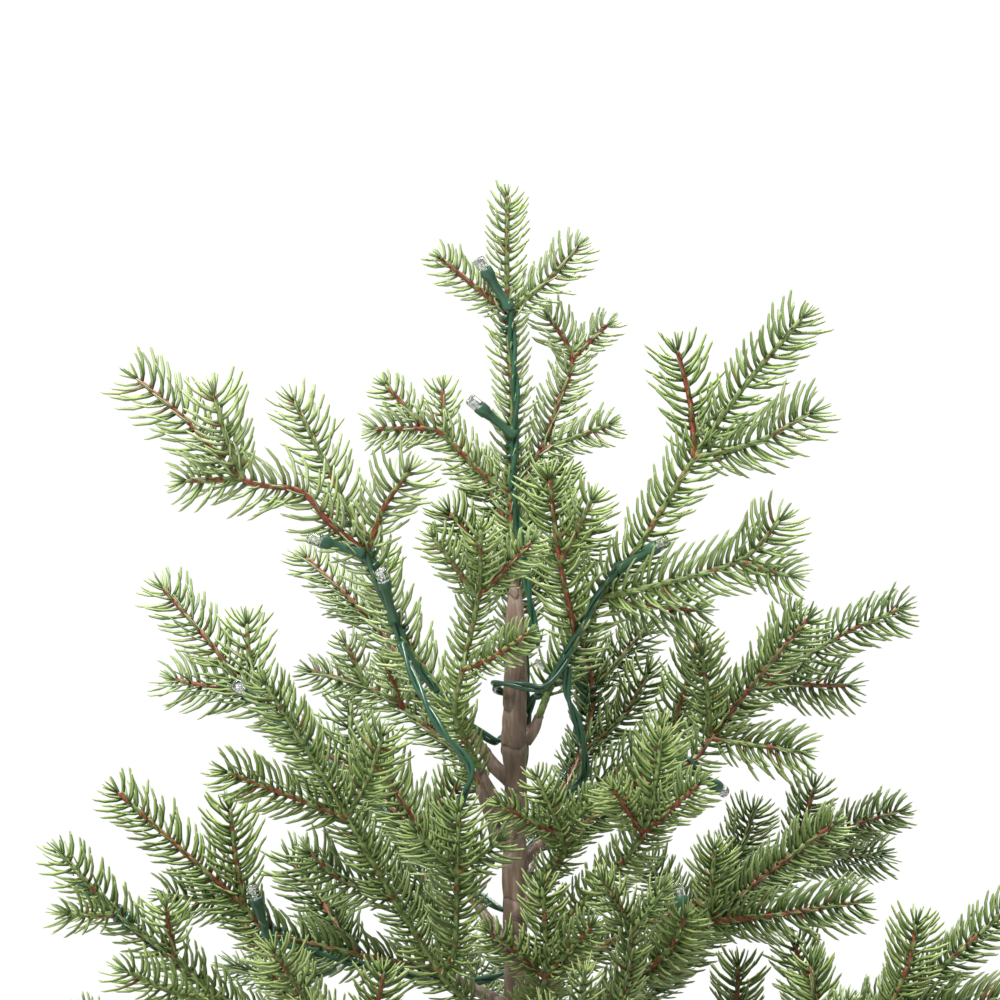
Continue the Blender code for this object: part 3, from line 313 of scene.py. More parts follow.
# the sprays: side (degrees), hinge height and, for each stem, the stem and point that it grows
# from, then its own points in mm: x and y from the trunk's axis, z up from the hinge
sprays = {
    "leader": dict(azimuth=90, height=446, bare=9, stems=(
        (None, 0, ((-2, -1, 35), (-1.5, -0.5, 55), (-1, 0, 69), (-3, 1, 104), (-3, 1, 148))),
        (0, 3, ((-17, -3, 114), (-29, -4, 124))),
        (0, 3, ((12, 2, 115), (24, 3, 128))),
        (0, 0, ((-14, -3, 42), (-27, -5, 55), (-34, -6, 58), (-54, -8, 58))),
        (3, 2, ((-50, -4, 75),)),
        (3, 1, ((-28, -2, 74),)),
        (0, 0, ((10, 5, 50), (17, 8, 69), (22, 9, 86), (13, 8, 102))),
        (6, 2, ((36, 12, 99),)),
        (6, 0, ((23, 3, 55), (37, 0, 60))))),
    "branch_01": dict(azimuth=-10, height=393, bare=8, stems=(
        (None, 0, ((15, -3, 15), (24, -4, 30), (33, -6, 47), (40, -7.5, 57), (48, -9, 67), (69, -13, 101),
                   (88, -16, 128), (109, -20, 153))),
        (0, 5, ((67, -13, 120), (62, -12, 141))),
        (0, 5, ((92, -20, 106), (112, -22, 117))),
        (0, 2, ((52, -16, 51), (85, -24, 61), (100, -28, 76))),
        (3, 1, ((104, -30, 55),)),
        (0, 2, ((52, 6, 43), (71, 12, 41))),
        (0, 1, ((17, -15, 61), (13, -19, 92))),
        (6, 0, ((29, -24, 84),)))),
    "branch_02": dict(azimuth=-150, height=362, bare=12, stems=(
        (None, 0, ((-17, -12, 19), (-23, -20, 34), (-20, -26, 51), (-14, -31, 79), (-13, -42, 104))),
        (0, 3, ((-31, -40, 101),)),
        (0, 3, ((6, -36, 99),)),
        (0, 2, ((-8, -34, 56), (5, -40, 65))))),
    "branch_03": dict(azimuth=180, height=376, bare=14, stems=(
        (None, 0, ((-29, -2, 28), (-40, -4, 43), (-45.5, -5, 55), (-50, -6, 66), (-57, -8, 81),
                   (-70, -4, 109), (-85, 0, 139))),
        (0, 4, ((-50, -15, 98), (-40, -22, 112))),
        (0, 4, ((-71, -12, 92), (-82, -14, 104), (-104, -20, 109), (-124, -18, 130), (-144, -16, 147))),
        (2, 2, ((-110, -24, 126), (-114, -26, 141))),
        (2, 2, ((-125, -26, 108),)))),
    "branch_04": dict(azimuth=158, height=352, bare=14, stems=(
        (None, 0, ((-18, 7, 22), (-29, 10, 32), (-44, 13, 44), (-58, 16, 52), (-80, 24, 58))),
        (0, 3, ((-66, 18, 69),)),
        (0, 2, ((-50, 8, 62),)),
        (0, 1, ((-42, 30, 56), (-56, 44, 76), (-83, 54, 102))),
        (3, 1, ((-71, 56, 84),)),
        (3, 1, ((-52, 50, 104),)))),
    "branch_05": dict(azimuth=-165, height=268, bare=14, stems=(
        (None, 0, ((-18, -8, 16), (-29, -14, 29), (-47, -22, 59), (-64, -30, 90), (-78, -34, 114),
                   (-94, -38, 140))),
        (0, 3, ((-86, -36, 98), (-108, -42, 107))),
        (0, 3, ((-55, -32, 105), (-50, -34, 120))),
        (0, 1, ((-23, -24, 39), (-22, -34, 69), (-21, -42, 92))),
        (3, 1, ((-37, -40, 84),)),
        (3, 1, ((-6, -40, 81),)),
        (0, 2, ((-66, -16, 64), (-78, -12, 74))))),
    "branch_06": dict(azimuth=140, height=310, bare=16, stems=(
        (None, 0, ((-30, 24, 28), (-62, 46, 56), (-104, 70, 88), (-124, 80, 110), (-143, 88, 131))),
        (0, 2, ((-107, 74, 104), (-108, 76, 117))),
        (0, 2, ((-138, 84, 94),)),
        (0, 0, ((-46, 22, 52), (-56, 20, 66))),
        (0, 1, ((-66, 62, 78), (-64, 76, 92))))),
    "branch_07": dict(azimuth=-170, height=232, bare=18, stems=(
        (None, 0, ((-30, -6, 20), (-62, -14, 36), (-90, -20, 46), (-110, -26, 56), (-129, -30, 72),
                   (-150, -32, 89), (-171, -36, 112))),
        (0, 4, ((-131, -40, 92),)),
        (0, 5, ((-168, -46, 90),)),
        (0, 1, ((-78, -34, 56), (-90, -46, 76))),
        (0, 3, ((-126, -44, 60), (-144, -56, 70))))),
    "branch_08": dict(azimuth=175, height=285, bare=16, stems=(
        (None, 0, ((-30, 2, 10), (-62, 0, 17), (-94, -4, 26), (-104, -6, 36), (-128, -8, 58),
                   (-152, -10, 80))),
        (0, 3, ((-107, -10, 56), (-109, -12, 74))),
        (0, 3, ((-134, -2, 40),)),
        (0, 1, ((-74, 14, 34), (-88, 22, 52))))),
    "branch_09": dict(azimuth=-60, height=322, bare=7, stems=(
        (None, 0, ((12, -19, 13), (18, -26, 20), (17, -33, 29), (8, -40, 51))),
        (0, 2, ((-6, -42, 41),)),
        (0, 2, ((29, -42, 43),)))),
    "branch_10": dict(azimuth=-45, height=298, bare=14, stems=(
        (None, 0, ((20, -20, 20), (36, -36, 38), (48, -48, 55), (52, -54, 74), (54, -56, 90))),
        (0, 2, ((68, -62, 74),)),
        (0, 2, ((36, -62, 72),)))),
    "branch_11": dict(azimuth=5, height=324, bare=20, stems=(
        (None, 0, ((21, 2, 22), (40, 4, 37), (67, 6, 51), (76, 8, 61), (96, 12, 86), (114, 14, 107))),
        (0, 3, ((74, 4, 80), (72, 2, 93))),
        (0, 3, ((110, -4, 56),)),
        (0, 1, ((52, -12, 52), (56, -18, 66))))),
    "branch_12": dict(azimuth=35, height=342, bare=16, stems=(
        (None, 0, ((30, 20, 22), (62, 40, 43), (100, 58, 62), (130, 68, 80), (156, 76, 91))),
        (0, 2, ((106, 62, 78), (112, 66, 90))),
        (0, 2, ((134, 72, 60),)),
        (0, 1, ((68, 34, 64), (72, 32, 80))))),
    "branch_13": dict(azimuth=-8, height=262, bare=16, stems=(
        (None, 0, ((24, -4, 14), (46, -8, 32), (67, -12, 47), (74, -14, 54), (98, -18, 74), (121, -22, 92))),
        (0, 3, ((75, -16, 70), (76, -18, 82))),
        (0, 3, ((100, -26, 58), (129, -30, 63))),
        (0, 1, ((58, -24, 44), (64, -36, 58))))),
    "branch_14": dict(azimuth=28, height=288, bare=16, stems=(
        (None, 0, ((36, 18, 16), (80, 38, 34), (112, 52, 46), (134, 58, 58), (154, 64, 64))),
        (0, 2, ((116, 58, 62), (120, 60, 74))),
        (0, 2, ((148, 74, 46),)),
        (0, 1, ((90, 54, 50), (96, 66, 64))))),
    "branch_15": dict(azimuth=-14, height=214, bare=18, stems=(
        (None, 0, ((40, -10, 18), (80, -20, 34), (115, -28, 50), (141, -34, 70), (166, -36, 92),
                   (187, -38, 111))),
        (0, 3, ((148, -40, 90), (150, -42, 104))),
        (0, 3, ((182, -48, 76),)),
        (0, 1, ((96, -38, 50), (106, -50, 66))),
        (0, 2, ((130, -14, 62), (146, -4, 74))),
        (0, 2, ((112, -24, 72), (106, -21, 94))),
        (0, 1, ((84, -8, 58), (86, -2, 84))))),
    "branch_16": dict(azimuth=-95, height=276, bare=12, stems=(
        (None, 0, ((2, -24, 8), (8, -40, 14), (11, -54, 24), (11, -58, 42), (10, -62, 58))),
        (0, 2, ((-10, -66, 42),)),
        (0, 2, ((28, -70, 44),)))),
    "branch_17": dict(azimuth=-72, height=240, bare=14, stems=(
        (None, 0, ((8, -28, 8), (16, -52, 16), (22, -74, 30), (25, -86, 64))),
        (0, 2, ((8, -90, 50),)),
        (0, 2, ((40, -94, 48),)),
        (0, 1, ((30, -60, 36), (39, -64, 53), (42, -67, 77), (32, -70, 97))),
        (3, 2, ((54, -72, 94),)))),
    "branch_18": dict(azimuth=-122, height=222, bare=14, stems=(
        (None, 0, ((-22, -36, 16), (-40, -66, 32), (-52, -86, 54), (-48, -96, 84))),
        (0, 2, ((-76, -106, 72),)),
        (0, 2, ((-32, -108, 66),)),
        (0, 1, ((-60, -74, 46), (-74, -76, 62))))),
    "branch_19": dict(azimuth=-32, height=200, bare=18, stems=(
        (None, 0, ((38, -24, 18), (74, -46, 34), (102, -62, 56), (122, -70, 92))),
        (0, 2, ((144, -84, 70),)),
        (0, 2, ((100, -92, 76),)),
        (0, 1, ((82, -70, 44), (84, -88, 58))),
        (0, 0, ((46, -42, 36), (48, -58, 52))),
        (0, 2, ((112, -54, 80), (110, -48, 104))))),
    "branch_20": dict(azimuth=-148, height=196, bare=18, stems=(
        (None, 0, ((-38, -24, 16), (-78, -48, 32), (-112, -66, 52), (-140, -76, 86))),
        (0, 2, ((-152, -94, 58),)),
        (0, 2, ((-110, -96, 82),)),
        (0, 1, ((-88, -74, 44), (-88, -92, 60))))),
    "branch_21": dict(azimuth=95, height=402, bare=10, stems=(
        (None, 0, ((0, 22, 18), (2, 36, 38), (0, 48, 60), (2, 68, 78))),
        (0, 2, ((-16, 56, 90),)),
        (0, 2, ((18, 58, 88),)),
        (0, 1, ((-14, 44, 56), (-26, 46, 70))),
        (0, 1, ((18, 44, 50), (31, 46, 62))))),
    "branch_22": dict(azimuth=68, height=330, bare=14, stems=(
        (None, 0, ((14, 34, 22), (26, 64, 44), (32, 84, 70), (22, 96, 106))),
        (0, 2, ((54, 104, 94),)),
        (0, 2, ((24, 116, 80),)),
        (0, 1, ((44, 70, 60), (54, 72, 78))))),
    "branch_23": dict(azimuth=112, height=272, bare=14, stems=(
        (None, 0, ((-16, 38, 18), (-32, 76, 36), (-40, 102, 60), (-58, 116, 94))),
        (0, 2, ((-20, 118, 92),)),
        (0, 2, ((-44, 136, 68),)),
        (0, 1, ((-50, 84, 54), (-62, 84, 72))))),
    "branch_24": dict(azimuth=58, height=244, bare=14, stems=(
        (None, 0, ((26, 42, 16), (56, 86, 32), (74, 114, 54), (96, 130, 86))),
        (0, 2, ((56, 138, 82),)),
        (0, 2, ((94, 148, 60),)),
        (0, 1, ((74, 86, 50), (88, 82, 66))))),
    "branch_25": dict(azimuth=128, height=222, bare=14, stems=(
        (None, 0, ((-32, 42, 16), (-68, 88, 32), (-92, 118, 54), (-118, 130, 84))),
        (0, 2, ((-76, 144, 84),)),
        (0, 2, ((-118, 150, 58),)),
        (0, 1, ((-86, 88, 48), (-100, 82, 64))))),
    "branch_26": dict(azimuth=168, height=188, bare=20, stems=(
        (None, 0, ((-50, 12, 16), (-104, 26, 32), (-142, 34, 54), (-172, 40, 86))),
        (0, 2, ((-138, 54, 86),)),
        (0, 2, ((-182, 48, 58),)),
        (0, 1, ((-120, 44, 46), (-130, 60, 58))),
        (0, 0, ((-66, 28, 34), (-76, 42, 50))))),
    "branch_27": dict(azimuth=20, height=176, bare=20, stems=(
        (None, 0, ((50, 18, 14), (104, 38, 30), (146, 52, 52), (176, 60, 86))),
        (0, 2, ((142, 72, 84),)),
        (0, 2, ((188, 72, 56),)),
        (0, 1, ((120, 58, 44), (126, 76, 58))),
        (0, 0, ((66, 12, 34), (78, 4, 50))))),
    "branch_28": dict(azimuth=-100, height=168, bare=20, stems=(
        (None, 0, ((-10, -46, 14), (-20, -94, 28), (-26, -128, 50), (-44, -146, 82))),
        (0, 2, ((-8, -150, 80),)),
        (0, 2, ((-30, -168, 52),)),
        (0, 1, ((-40, -104, 44), (-56, -108, 60))),
        (0, 0, ((8, -62, 32), (20, -76, 48))))),
    "branch_29": dict(azimuth=84, height=206, bare=18, stems=(
        (None, 0, ((4, 50, 14), (8, 100, 30), (10, 132, 52), (-8, 148, 84))),
        (0, 2, ((28, 152, 82),)),
        (0, 2, ((12, 172, 56),)),
        (0, 1, ((26, 108, 46), (40, 110, 62))))),
}
hinges = {joint["child"]: np.array(joint.get("pos_m", (0, 0, 0)), float) for joint in frame["joints"]}


def stemRuns(name):
    # each stem's points in metres, from the point that it grows from
    runs = []
    for parent, at, places in sprays[name]["stems"]:
        start = hinges[name] if parent is None else 0.97 * runs[parent][at + 1] + 0.03 * runs[parent][at]
        own = np.array(places, float) * mm + [0, 0, sprays[name]["height"] * mm]
        runs.append(np.vstack([start, own]))
    return runs


# moulded polyethylene: sprays of stems and needles
# PE moulding is soft, waxy and satin, with paint brushed on one side of the stems; the needles are paler
# towards their thin tips, partly their own colour and partly painted highlight
def needleMaterial():
    # painted highlight on the upper edge, a tip paler partly by its own colour and partly by painted
    # highlight, and painted shade on the underside and root, on thin moulded blades
    material, tree, shader = newMaterial("greenPolyethyleneNeedle", Roughness=0.42, IOR=1.5,
                                         Specular_IOR_Level=0.32)
    along, tone = attribute(tree, "along"), attribute(tree, "tone")
    paint, ridge = attribute(tree, "paint"), attribute(tree, "ridge")
    body = ramp(tree, tone, [(0.0, "#37531f"), (0.35, "#59793a"), (0.7, "#8ba766"), (1.0, "#c0d0a4")])
    # painted shade along the blade's lower edge
    paintedUnderShade = mixColor(tree, ramp(tree, ridge, [(0.0, 0.88), (0.42, 0.0)]), body, "#16270b")
    # painted highlight along the blade's upper, forward edge
    light = mixColor(tree, ramp(tree, ridge, [(0.45, 0.0), (1.0, 0.80)]), paintedUnderShade, "#bccb74")
    # paler towards the tip: partly the needle's own colour, partly painted highlight
    tip = mixColor(tree, ramp(tree, along, [(0.5, 0.0), (1.0, 0.40)]), light, "#bfcc94")
    # painted shade at the root, where the needle meets the stem
    root = mixColor(tree, ramp(tree, along, [(0.0, 0.85), (0.42, 0.0)]), tip, "#1e300c")
    cloud = mixColor(tree, ramp(tree, noiseOn(tree, 160), [(0.35, 0.0), (0.7, 0.3)]), root, "#86996b")
    tree.links.new(mixColor(tree, paint, cloud, "#7d4630"), shader.inputs["Base Color"])
    addBump(tree, shader, noiseOn(tree, 2600), 0.15, 0.0002)
    return material


def stemMaterial():
    # brick-red paint over green, worn through along the raised line and in patches of a few mm
    material, tree, shader = newMaterial("rustPaintedPolyethyleneStem", Roughness=0.48, IOR=1.5)
    around, cover = attribute(tree, "around"), attribute(tree, "cover")
    patches = noiseOn(tree, 240, 4.0)
    side = math2(tree, "ADD", math2(tree, "MULTIPLY", around, 0.30), cover)
    level = math2(tree, "ADD", side, math2(tree, "MULTIPLY", math2(tree, "SUBTRACT", patches, 0.5), 1.5))
    mask = ramp(tree, level, [(0.42, 0.0), (0.56, 1.0)])
    green = ramp(tree, noiseOn(tree, 420), [(0.3, "#4c652a"), (0.7, "#93a566")])
    rust = ramp(tree, noiseOn(tree, 520, 5.0), [(0.25, "#4a261b"), (0.55, "#863f2a"), (0.8, "#a8634a")])
    tree.links.new(mixColor(tree, mask, green, rust), shader.inputs["Base Color"])
    addBump(tree, shader, noiseOn(tree, 1400, 4.0), 0.35, 0.0003)
    return material


# rows of needles by their side of the stem (degrees) and how far apart they are, and one needle's outline by
# share of its length
needleForm = {"spacing": 2.6 * mm, "width": 0.64 * mm, "thickness": 0.40 * mm, "rings": (0, 0.24, 0.60, 0.90),
              "widths": (0.90, 1.0, 0.95, 0.68), "sides": (0, 180, 38, 142, -38, -142, 88, -88),
              "gaps": (1.0, 1.0, 1.25, 1.25, 1.35, 1.35, 2.2, 2.4), "crown": 7, "lean": 74, "tipLean": 48,
              "bend": 46, "tipBend": 38}       # lean and bend in degrees
# longest needle (mm), paleness and spacing of the sprays that differ from the rest; paleness is painted light
# and shade, high on the sprays that stand in the light and low on the shaded ones
needleLooks = {"leader": (12.0, 0.92, 1.2), "branch_02": (12.0, 0.55, 1.1), "branch_09": (12.0, 0.3, 1.0),
               "branch_10": (14.5, 0.36, 1.0), "branch_03": (17.0, 0.86, 1.6),
               "branch_04": (13.5, 0.82, 1.3), "branch_01": (16.5, 0.52, 1.5),
               "branch_06": (17.0, 0.72, 1.5), "branch_07": (16.5, 0.5, 1.4),
               "branch_05": (15.0, 0.34, 1.2), "branch_08": (15.5, 0.32, 1.25),
               "branch_11": (15.0, 0.28, 1.25), "branch_12": (16.0, 0.4, 1.4)}


def needlesOn(path, even, planeNormal, longest, bare, tipCrown, pale, sparse):
    # rows of curved blades. A needle starts at an angle to the stem and bends towards the stem's tip:
    # its heading is start - bend * s, so its points are the integrals of that angle's cosine and sine.
    total, crown, rows = even[-1], needleForm["crown"], []
    for index, (row, share) in enumerate(zip(needleForm["sides"], needleForm["gaps"])):
        gap = needleForm["spacing"] * share * sparse
        places = np.arange(bare + gap * (0.2 + 0.37 * index % 1), total - 0.3 * mm, gap)
        rows.append(np.stack([places, np.full(len(places), float(row))], axis=1))
    if tipCrown:
        rows.append(np.stack([np.full(crown, total - 0.2 * mm), np.arange(crown) * 360 / crown], axis=1))
    rows = np.concatenate(rows)
    place = rows[:, 0] + random.normal(0, 0.25 * mm, len(rows))
    place = np.clip(place, 0, total)
    share = place / total
    at = np.stack([np.interp(place, even, path[:, i]) for i in range(3)], axis=1)
    heading = directions(path)
    along = unit(np.stack([np.interp(place, even, heading[:, i]) for i in range(3)], axis=1))
    side = unit(np.cross(planeNormal, along))
    front = np.cross(along, side)
    turn = np.radians(rows[:, 1] + random.normal(0, 7, len(rows)))
    out = np.cos(turn)[:, None] * side + np.sin(turn)[:, None] * front
    across = np.cross(along, out)

    fromTip = (total - place)
    swell = np.clip(fromTip / (6 * mm), 0, 1) ** 0.6
    early = np.clip((place - bare) / (14 * mm), 0, 1)
    length = longest * (0.62 + 0.38 * swell) * (0.76 + 0.24 * early) * random.normal(1, 0.05, len(rows))
    length *= np.where(np.abs(np.sin(turn)) > 0.85, 0.74, np.where(np.abs(np.sin(turn)) > 0.3, 0.88, 1.0))
    leanDrop = needleForm["lean"] - needleForm["tipLean"]
    bendDrop = needleForm["bend"] - needleForm["tipBend"]
    start = np.radians(needleForm["lean"] - leanDrop * (1 - swell) + random.normal(0, 4, len(rows)))
    bend = np.radians(needleForm["bend"] - bendDrop * (1 - swell) + random.normal(0, 6, len(rows)))
    isCrown = np.arange(len(rows)) >= len(rows) - (crown if tipCrown else 0)
    start = np.where(isCrown, np.radians(random.uniform(10, 40, len(rows))), start)
    bend = np.where(isCrown, np.radians(6), bend)
    length = np.where(isCrown, longest * random.uniform(0.38, 0.55, len(rows)), length)

    s = np.append(needleForm["rings"], 1.0)
    angle = start[:, None] - bend[:, None] * s
    forward = length[:, None] * (np.sin(start)[:, None] - np.sin(angle)) / bend[:, None]
    outward = length[:, None] * (np.cos(angle) - np.cos(start)[:, None]) / bend[:, None]
    centre = at[:, None] + forward[..., None] * along[:, None] + outward[..., None] * out[:, None]
    wobble = random.normal(0, 0.5 * mm, len(rows))
    centre += (wobble[:, None] * s**2)[..., None] * across[:, None]
    # the blade's width direction is square to its heading, in the plane of heading and stem
    wide = -np.sin(angle)[..., None] * along[:, None] + np.cos(angle)[..., None] * out[:, None]
    size = np.array(needleForm["widths"]) * (length[:, None] / (14 * mm)) ** 0.35
    edge = wide[:, :-1] * needleForm["width"]
    face = np.broadcast_to(across[:, None] * needleForm["thickness"], edge.shape)
    corner = np.stack([edge, face, -edge, -face], axis=2) * size[..., None, None]
    rings = centre[:, :-1, None] + corner
    count, ringCount = len(rows), len(s) - 1
    points = np.concatenate([rings.reshape(count, -1, 3), centre[:, -1:]], axis=1)
    perNeedle = ringCount * 4 + 1
    quad = np.vstack([ringQuads(ringCount, 4)[:, [1, 0, 3, 2]], [0, 1, 2, 3]])
    last = (ringCount - 1) * 4
    j = np.arange(4)
    triangle = np.stack([last + (j + 1) % 4, last + j, np.full(4, ringCount * 4)], axis=1)
    offset = np.arange(count)[:, None, None] * perNeedle
    alongValue = np.append(np.repeat(s[:-1], 4), 1.0)
    # ridge is 0 on the lower edge, where shade is painted, and 1 on the upper edge, where highlight is
    # painted
    ridgeValue = np.append(np.tile([0.0, 0.5, 1.0, 0.5], ringCount), 0.6)
    # each needle's tone varies at random about its spray's paleness, which is painted light and shade
    tone = np.clip(random.normal(pale, 0.16, count), 0, 1)
    paint = np.where(random.random(count) < 0.05, random.uniform(0.3, 0.9, count), 0.0)
    fade = np.clip(1.3 - 1.8 * alongValue, 0, 1)
    return {"points": points.reshape(-1, 3), "quads": (quad[None] + offset).reshape(-1, 4),
            "triangles": (triangle[None] + offset).reshape(-1, 3),
            "along": np.tile(alongValue, count), "ridge": np.tile(ridgeValue, count),
            "tone": np.repeat(tone, perNeedle), "paint": (paint[:, None] * fade).ravel()}


def stemSurface(path, even, planeNormal, rootRadius, tipRadius, cover):
    # a tapering stem with a raised line down its front and back, from the moulds' parting
    share = even / even[-1]
    radius = rootRadius + (tipRadius - rootRadius) * share
    radius = radius * np.clip((even[-1] - even) / (1.2 * mm) + 0.25, 0, 1) ** 0.5
    angle = np.arange(10) / 10 * 2 * np.pi
    line = 1 + 0.16 * np.maximum(0, np.abs(np.sin(angle)) - 0.8) / 0.2
    knots = 1 + 0.09 * np.sin(even / (2.5 * mm) * 2 * np.pi)[:, None] * np.abs(np.cos(angle))
    chunk = sweep(path, radius[:, None] * line * knots, 10, planeNormal)
    chunk["cover"] = np.full(len(chunk["points"]), cover)
    return chunk


def makeSpray(name, materials):
    # stems and needles of one spray. Its needles lie in rows about the plane that fits all of its stems best
    spray = sprays[name]
    runs = stemRuns(name)
    cloud = np.vstack(runs)
    planeNormal = np.linalg.svd(cloud - cloud.mean(0))[2][-1]
    planeNormal = planeNormal * (-1 if planeNormal[1] > 0 else 1)
    bare = spray["bare"] * mm
    # the default paleness is low: painted shade on the sprays not listed
    longest, pale, sparse = needleLooks.get(name, (14.5, 0.14, 1.0))
    stems, needles = [], []
    for index, run in enumerate(runs):
        path, even = smoothPath(run, 1.3 * mm)
        isEnd = not any(parent == index and at >= len(run) - 2 for parent, at, _ in spray["stems"])
        cover = random.uniform(0.05, 0.45)
        root, tip, clear = (1.5 * mm, 0.95 * mm, bare) if index == 0 else (1.3 * mm, 0.9 * mm, 1.5 * mm)
        stems.append(stemSurface(path, even, planeNormal, root, tip, cover))
        reach = longest * (1.06 if even[-1] > 34 * mm and index else 0.94) * mm
        needles.append(needlesOn(path, even, planeNormal, reach, clear, isEnd, pale, sparse))
    stemPiece = meshFrom(f"{name}_stems", stems, materials["stem"])
    needlePiece = meshFrom(f"{name}_needles", needles, materials["needle"])
    for piece in (stemPiece, needlePiece):
        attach(piece, name)
    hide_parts(name)
    return sum(len(chunk["tone"]) for chunk in needles) // (4 * len(needleForm["rings"]) + 1)


sprayMaterials = {"needle": needleMaterial(), "stem": stemMaterial()}
needleCount = sum(makeSpray(name, sprayMaterials) for name in sprays)
print("sprays made, with", needleCount, "needles")


# florist tape: stretched crepe wound in a spiral, semi-gloss; its shine on the ridges is painted highlight
tape = {"pitch": 19 * mm, "step": 0.45 * mm}


def tapeMaterial():
    # waxed crepe paper: fine streaks along the pull, the light ones partly painted sheen; painted shade in
    # the crease at each turn's edge and painted highlight on the ridge beside it
    material, tree, shader = newMaterial("brownFloristTape", Roughness=0.31, IOR=1.5)
    turn = attribute(tree, "turn")
    streaksAndSheen = noiseOn(tree, 330, 4.0, 0.6, stretch=(1, 1, 0.12))
    # streaks of the crepe, whose light ones are partly painted sheen
    body = ramp(tree, streaksAndSheen, [(0.3, "#4f3f36"), (0.52, "#7b665a"), (0.74, "#b19d90")])
    # by the place in the turn: painted shade at the turn's edge, painted highlight just before it
    edge = ramp(tree, turn, [(0.0, "#35281f"), (0.08, "#7f6a5c"), (0.80, "#94806f"), (1.0, "#c2b0a4")])
    tree.links.new(mixColor(tree, 0.35, body, edge), shader.inputs["Base Color"])
    crepe = noiseOn(tree, 520, 4.0, 0.65, stretch=(1, 1, 0.14))
    addBump(tree, shader, math2(tree, "ADD", crepe, streaksAndSheen), 0.8, 0.0009)
    return material


def tapedRadius(along, angle, radius, phase=0.0):
    # each turn overlaps the last: the radius steps up at the edge and falls away over one pitch;
    # the wires underneath show as low swellings that wander round
    drift = 0.16 * np.sin(2 * angle + along / (9 * mm)) + 0.10 * np.sin(along / (5 * mm) + phase * 9)
    turn = (along / tape["pitch"] - angle / (2 * np.pi) + drift + phase) % 1.0
    step = tape["step"] * np.clip(turn / 0.06, 0, 1) * (1 - turn)
    wires = 0.06 * np.cos(3 * angle + along / (11 * mm)) + 0.04 * np.cos(5 * angle - along / (7 * mm) + 1)
    crease = 0.03 * np.sin(9 * angle + 14 * turn)
    return radius * (1 + wires + crease) + step - 0.5 * tape["step"], turn


def tapedTube(path, radii, sides, phase=0.0, reference=None):
    # a tube whose radius follows tapedRadius, with the place in the turn kept for the material's painted
    # shade and highlight
    run = np.concatenate([[0], np.cumsum(np.linalg.norm(np.diff(path, axis=0), axis=1))])
    angle = np.arange(sides) / sides * 2 * np.pi
    radius, turn = tapedRadius(run[:, None], angle[None], np.asarray(radii)[:, None], phase)
    chunk = sweep(path, radius, sides, reference)
    chunk["turn"] = np.append(turn.ravel(), [0.5, 0.5])
    return chunk


tapeSkin = tapeMaterial()
trunk = {"radius": 4.2 * mm, "nose": 17 * mm, "pitch": 0.45 * mm}
# how much thicker (mm) the bound wires make the trunk, by height in metres
trunkForm = ((0.30, 0.3), (0.326, 0.5), (0.336, 1.0), (0.345, -0.1), (0.372, -0.1), (0.380, 1.1),
             (0.396, 0.3), (0.412, -0.1), (0.428, -0.2))


def makeTrunk():
    # the wound tape of the trunk, whose radius falls to a blunt nose at the top
    low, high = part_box("trunk_wrap")
    heights = np.arange(low[2], high[2] - 0.2 * mm, trunk["pitch"])
    places, extra = np.array(trunkForm).T
    radius = trunk["radius"] + np.interp(heights, places, extra * mm, left=0)
    nose = np.clip((heights - high[2] + trunk["nose"]) / trunk["nose"], 0, 1)
    radius = (radius + 0.2 * mm * np.sin(heights / (9 * mm))) * (1 - 0.58 * nose**2.2)
    path = np.stack([0 * heights, 0 * heights, heights], axis=1)
    wrap = meshFrom("trunk_tape", [tapedTube(path, radius, 56, reference=np.array([0.0, 1, 0]))], tapeSkin)
    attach(wrap, "trunk")
    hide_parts("trunk_wrap")


def makeArm(name, index):
    # the taped wire from inside the trunk, over the hinge and along the spray's bare length
    hinge, bare = hinges[name], sprays[name]["bare"] * mm
    path, even = smoothPath(stemRuns(name)[0], 0.7 * mm)
    reach = {"leader": 2.5 * mm, "branch_01": 2.0 * mm}.get(name, bare + 2 * mm)
    path = path[even < reach]
    heading = directions(path)[0]
    if name == "leader":
        back = hinge - [0, 0, 12 * mm]
        inner = hinge - [0, 0, 6 * mm]
    else:
        back = hinge - heading * 9 * mm - hinge * [0.25, 0.25, 0]
        inner = hinge - heading * 4 * mm
    lead, _ = smoothPath(np.vstack([back, inner, hinge]), 0.7 * mm)
    path = np.vstack([lead[:-1], path])
    share = np.linspace(0, 1, len(path))
    root, tip = (1.7, 1.5) if name == "leader" else (3.3, 1.75)
    radii = (tip + (root - tip) * (1 - share) ** 1.4) * mm * np.clip((1 - share) * 9 + 0.80, 0, 1)
    arm = meshFrom(f"{name}_arm_tape", [tapedTube(path, radii, 20, 0.37 * index)], tapeSkin)
    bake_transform(arm)


makeTrunk()
for index, name in enumerate(sprays):
    makeArm(name, index)
print("trunk and arms are taped")


# the lamp string: two PVC wires twisted together, with moulded holders and clear lamps
wire = {"radius": 0.88 * mm, "lay": 38 * mm, "coilTurns": 2.4, "coilRadius": 2.6 * mm}
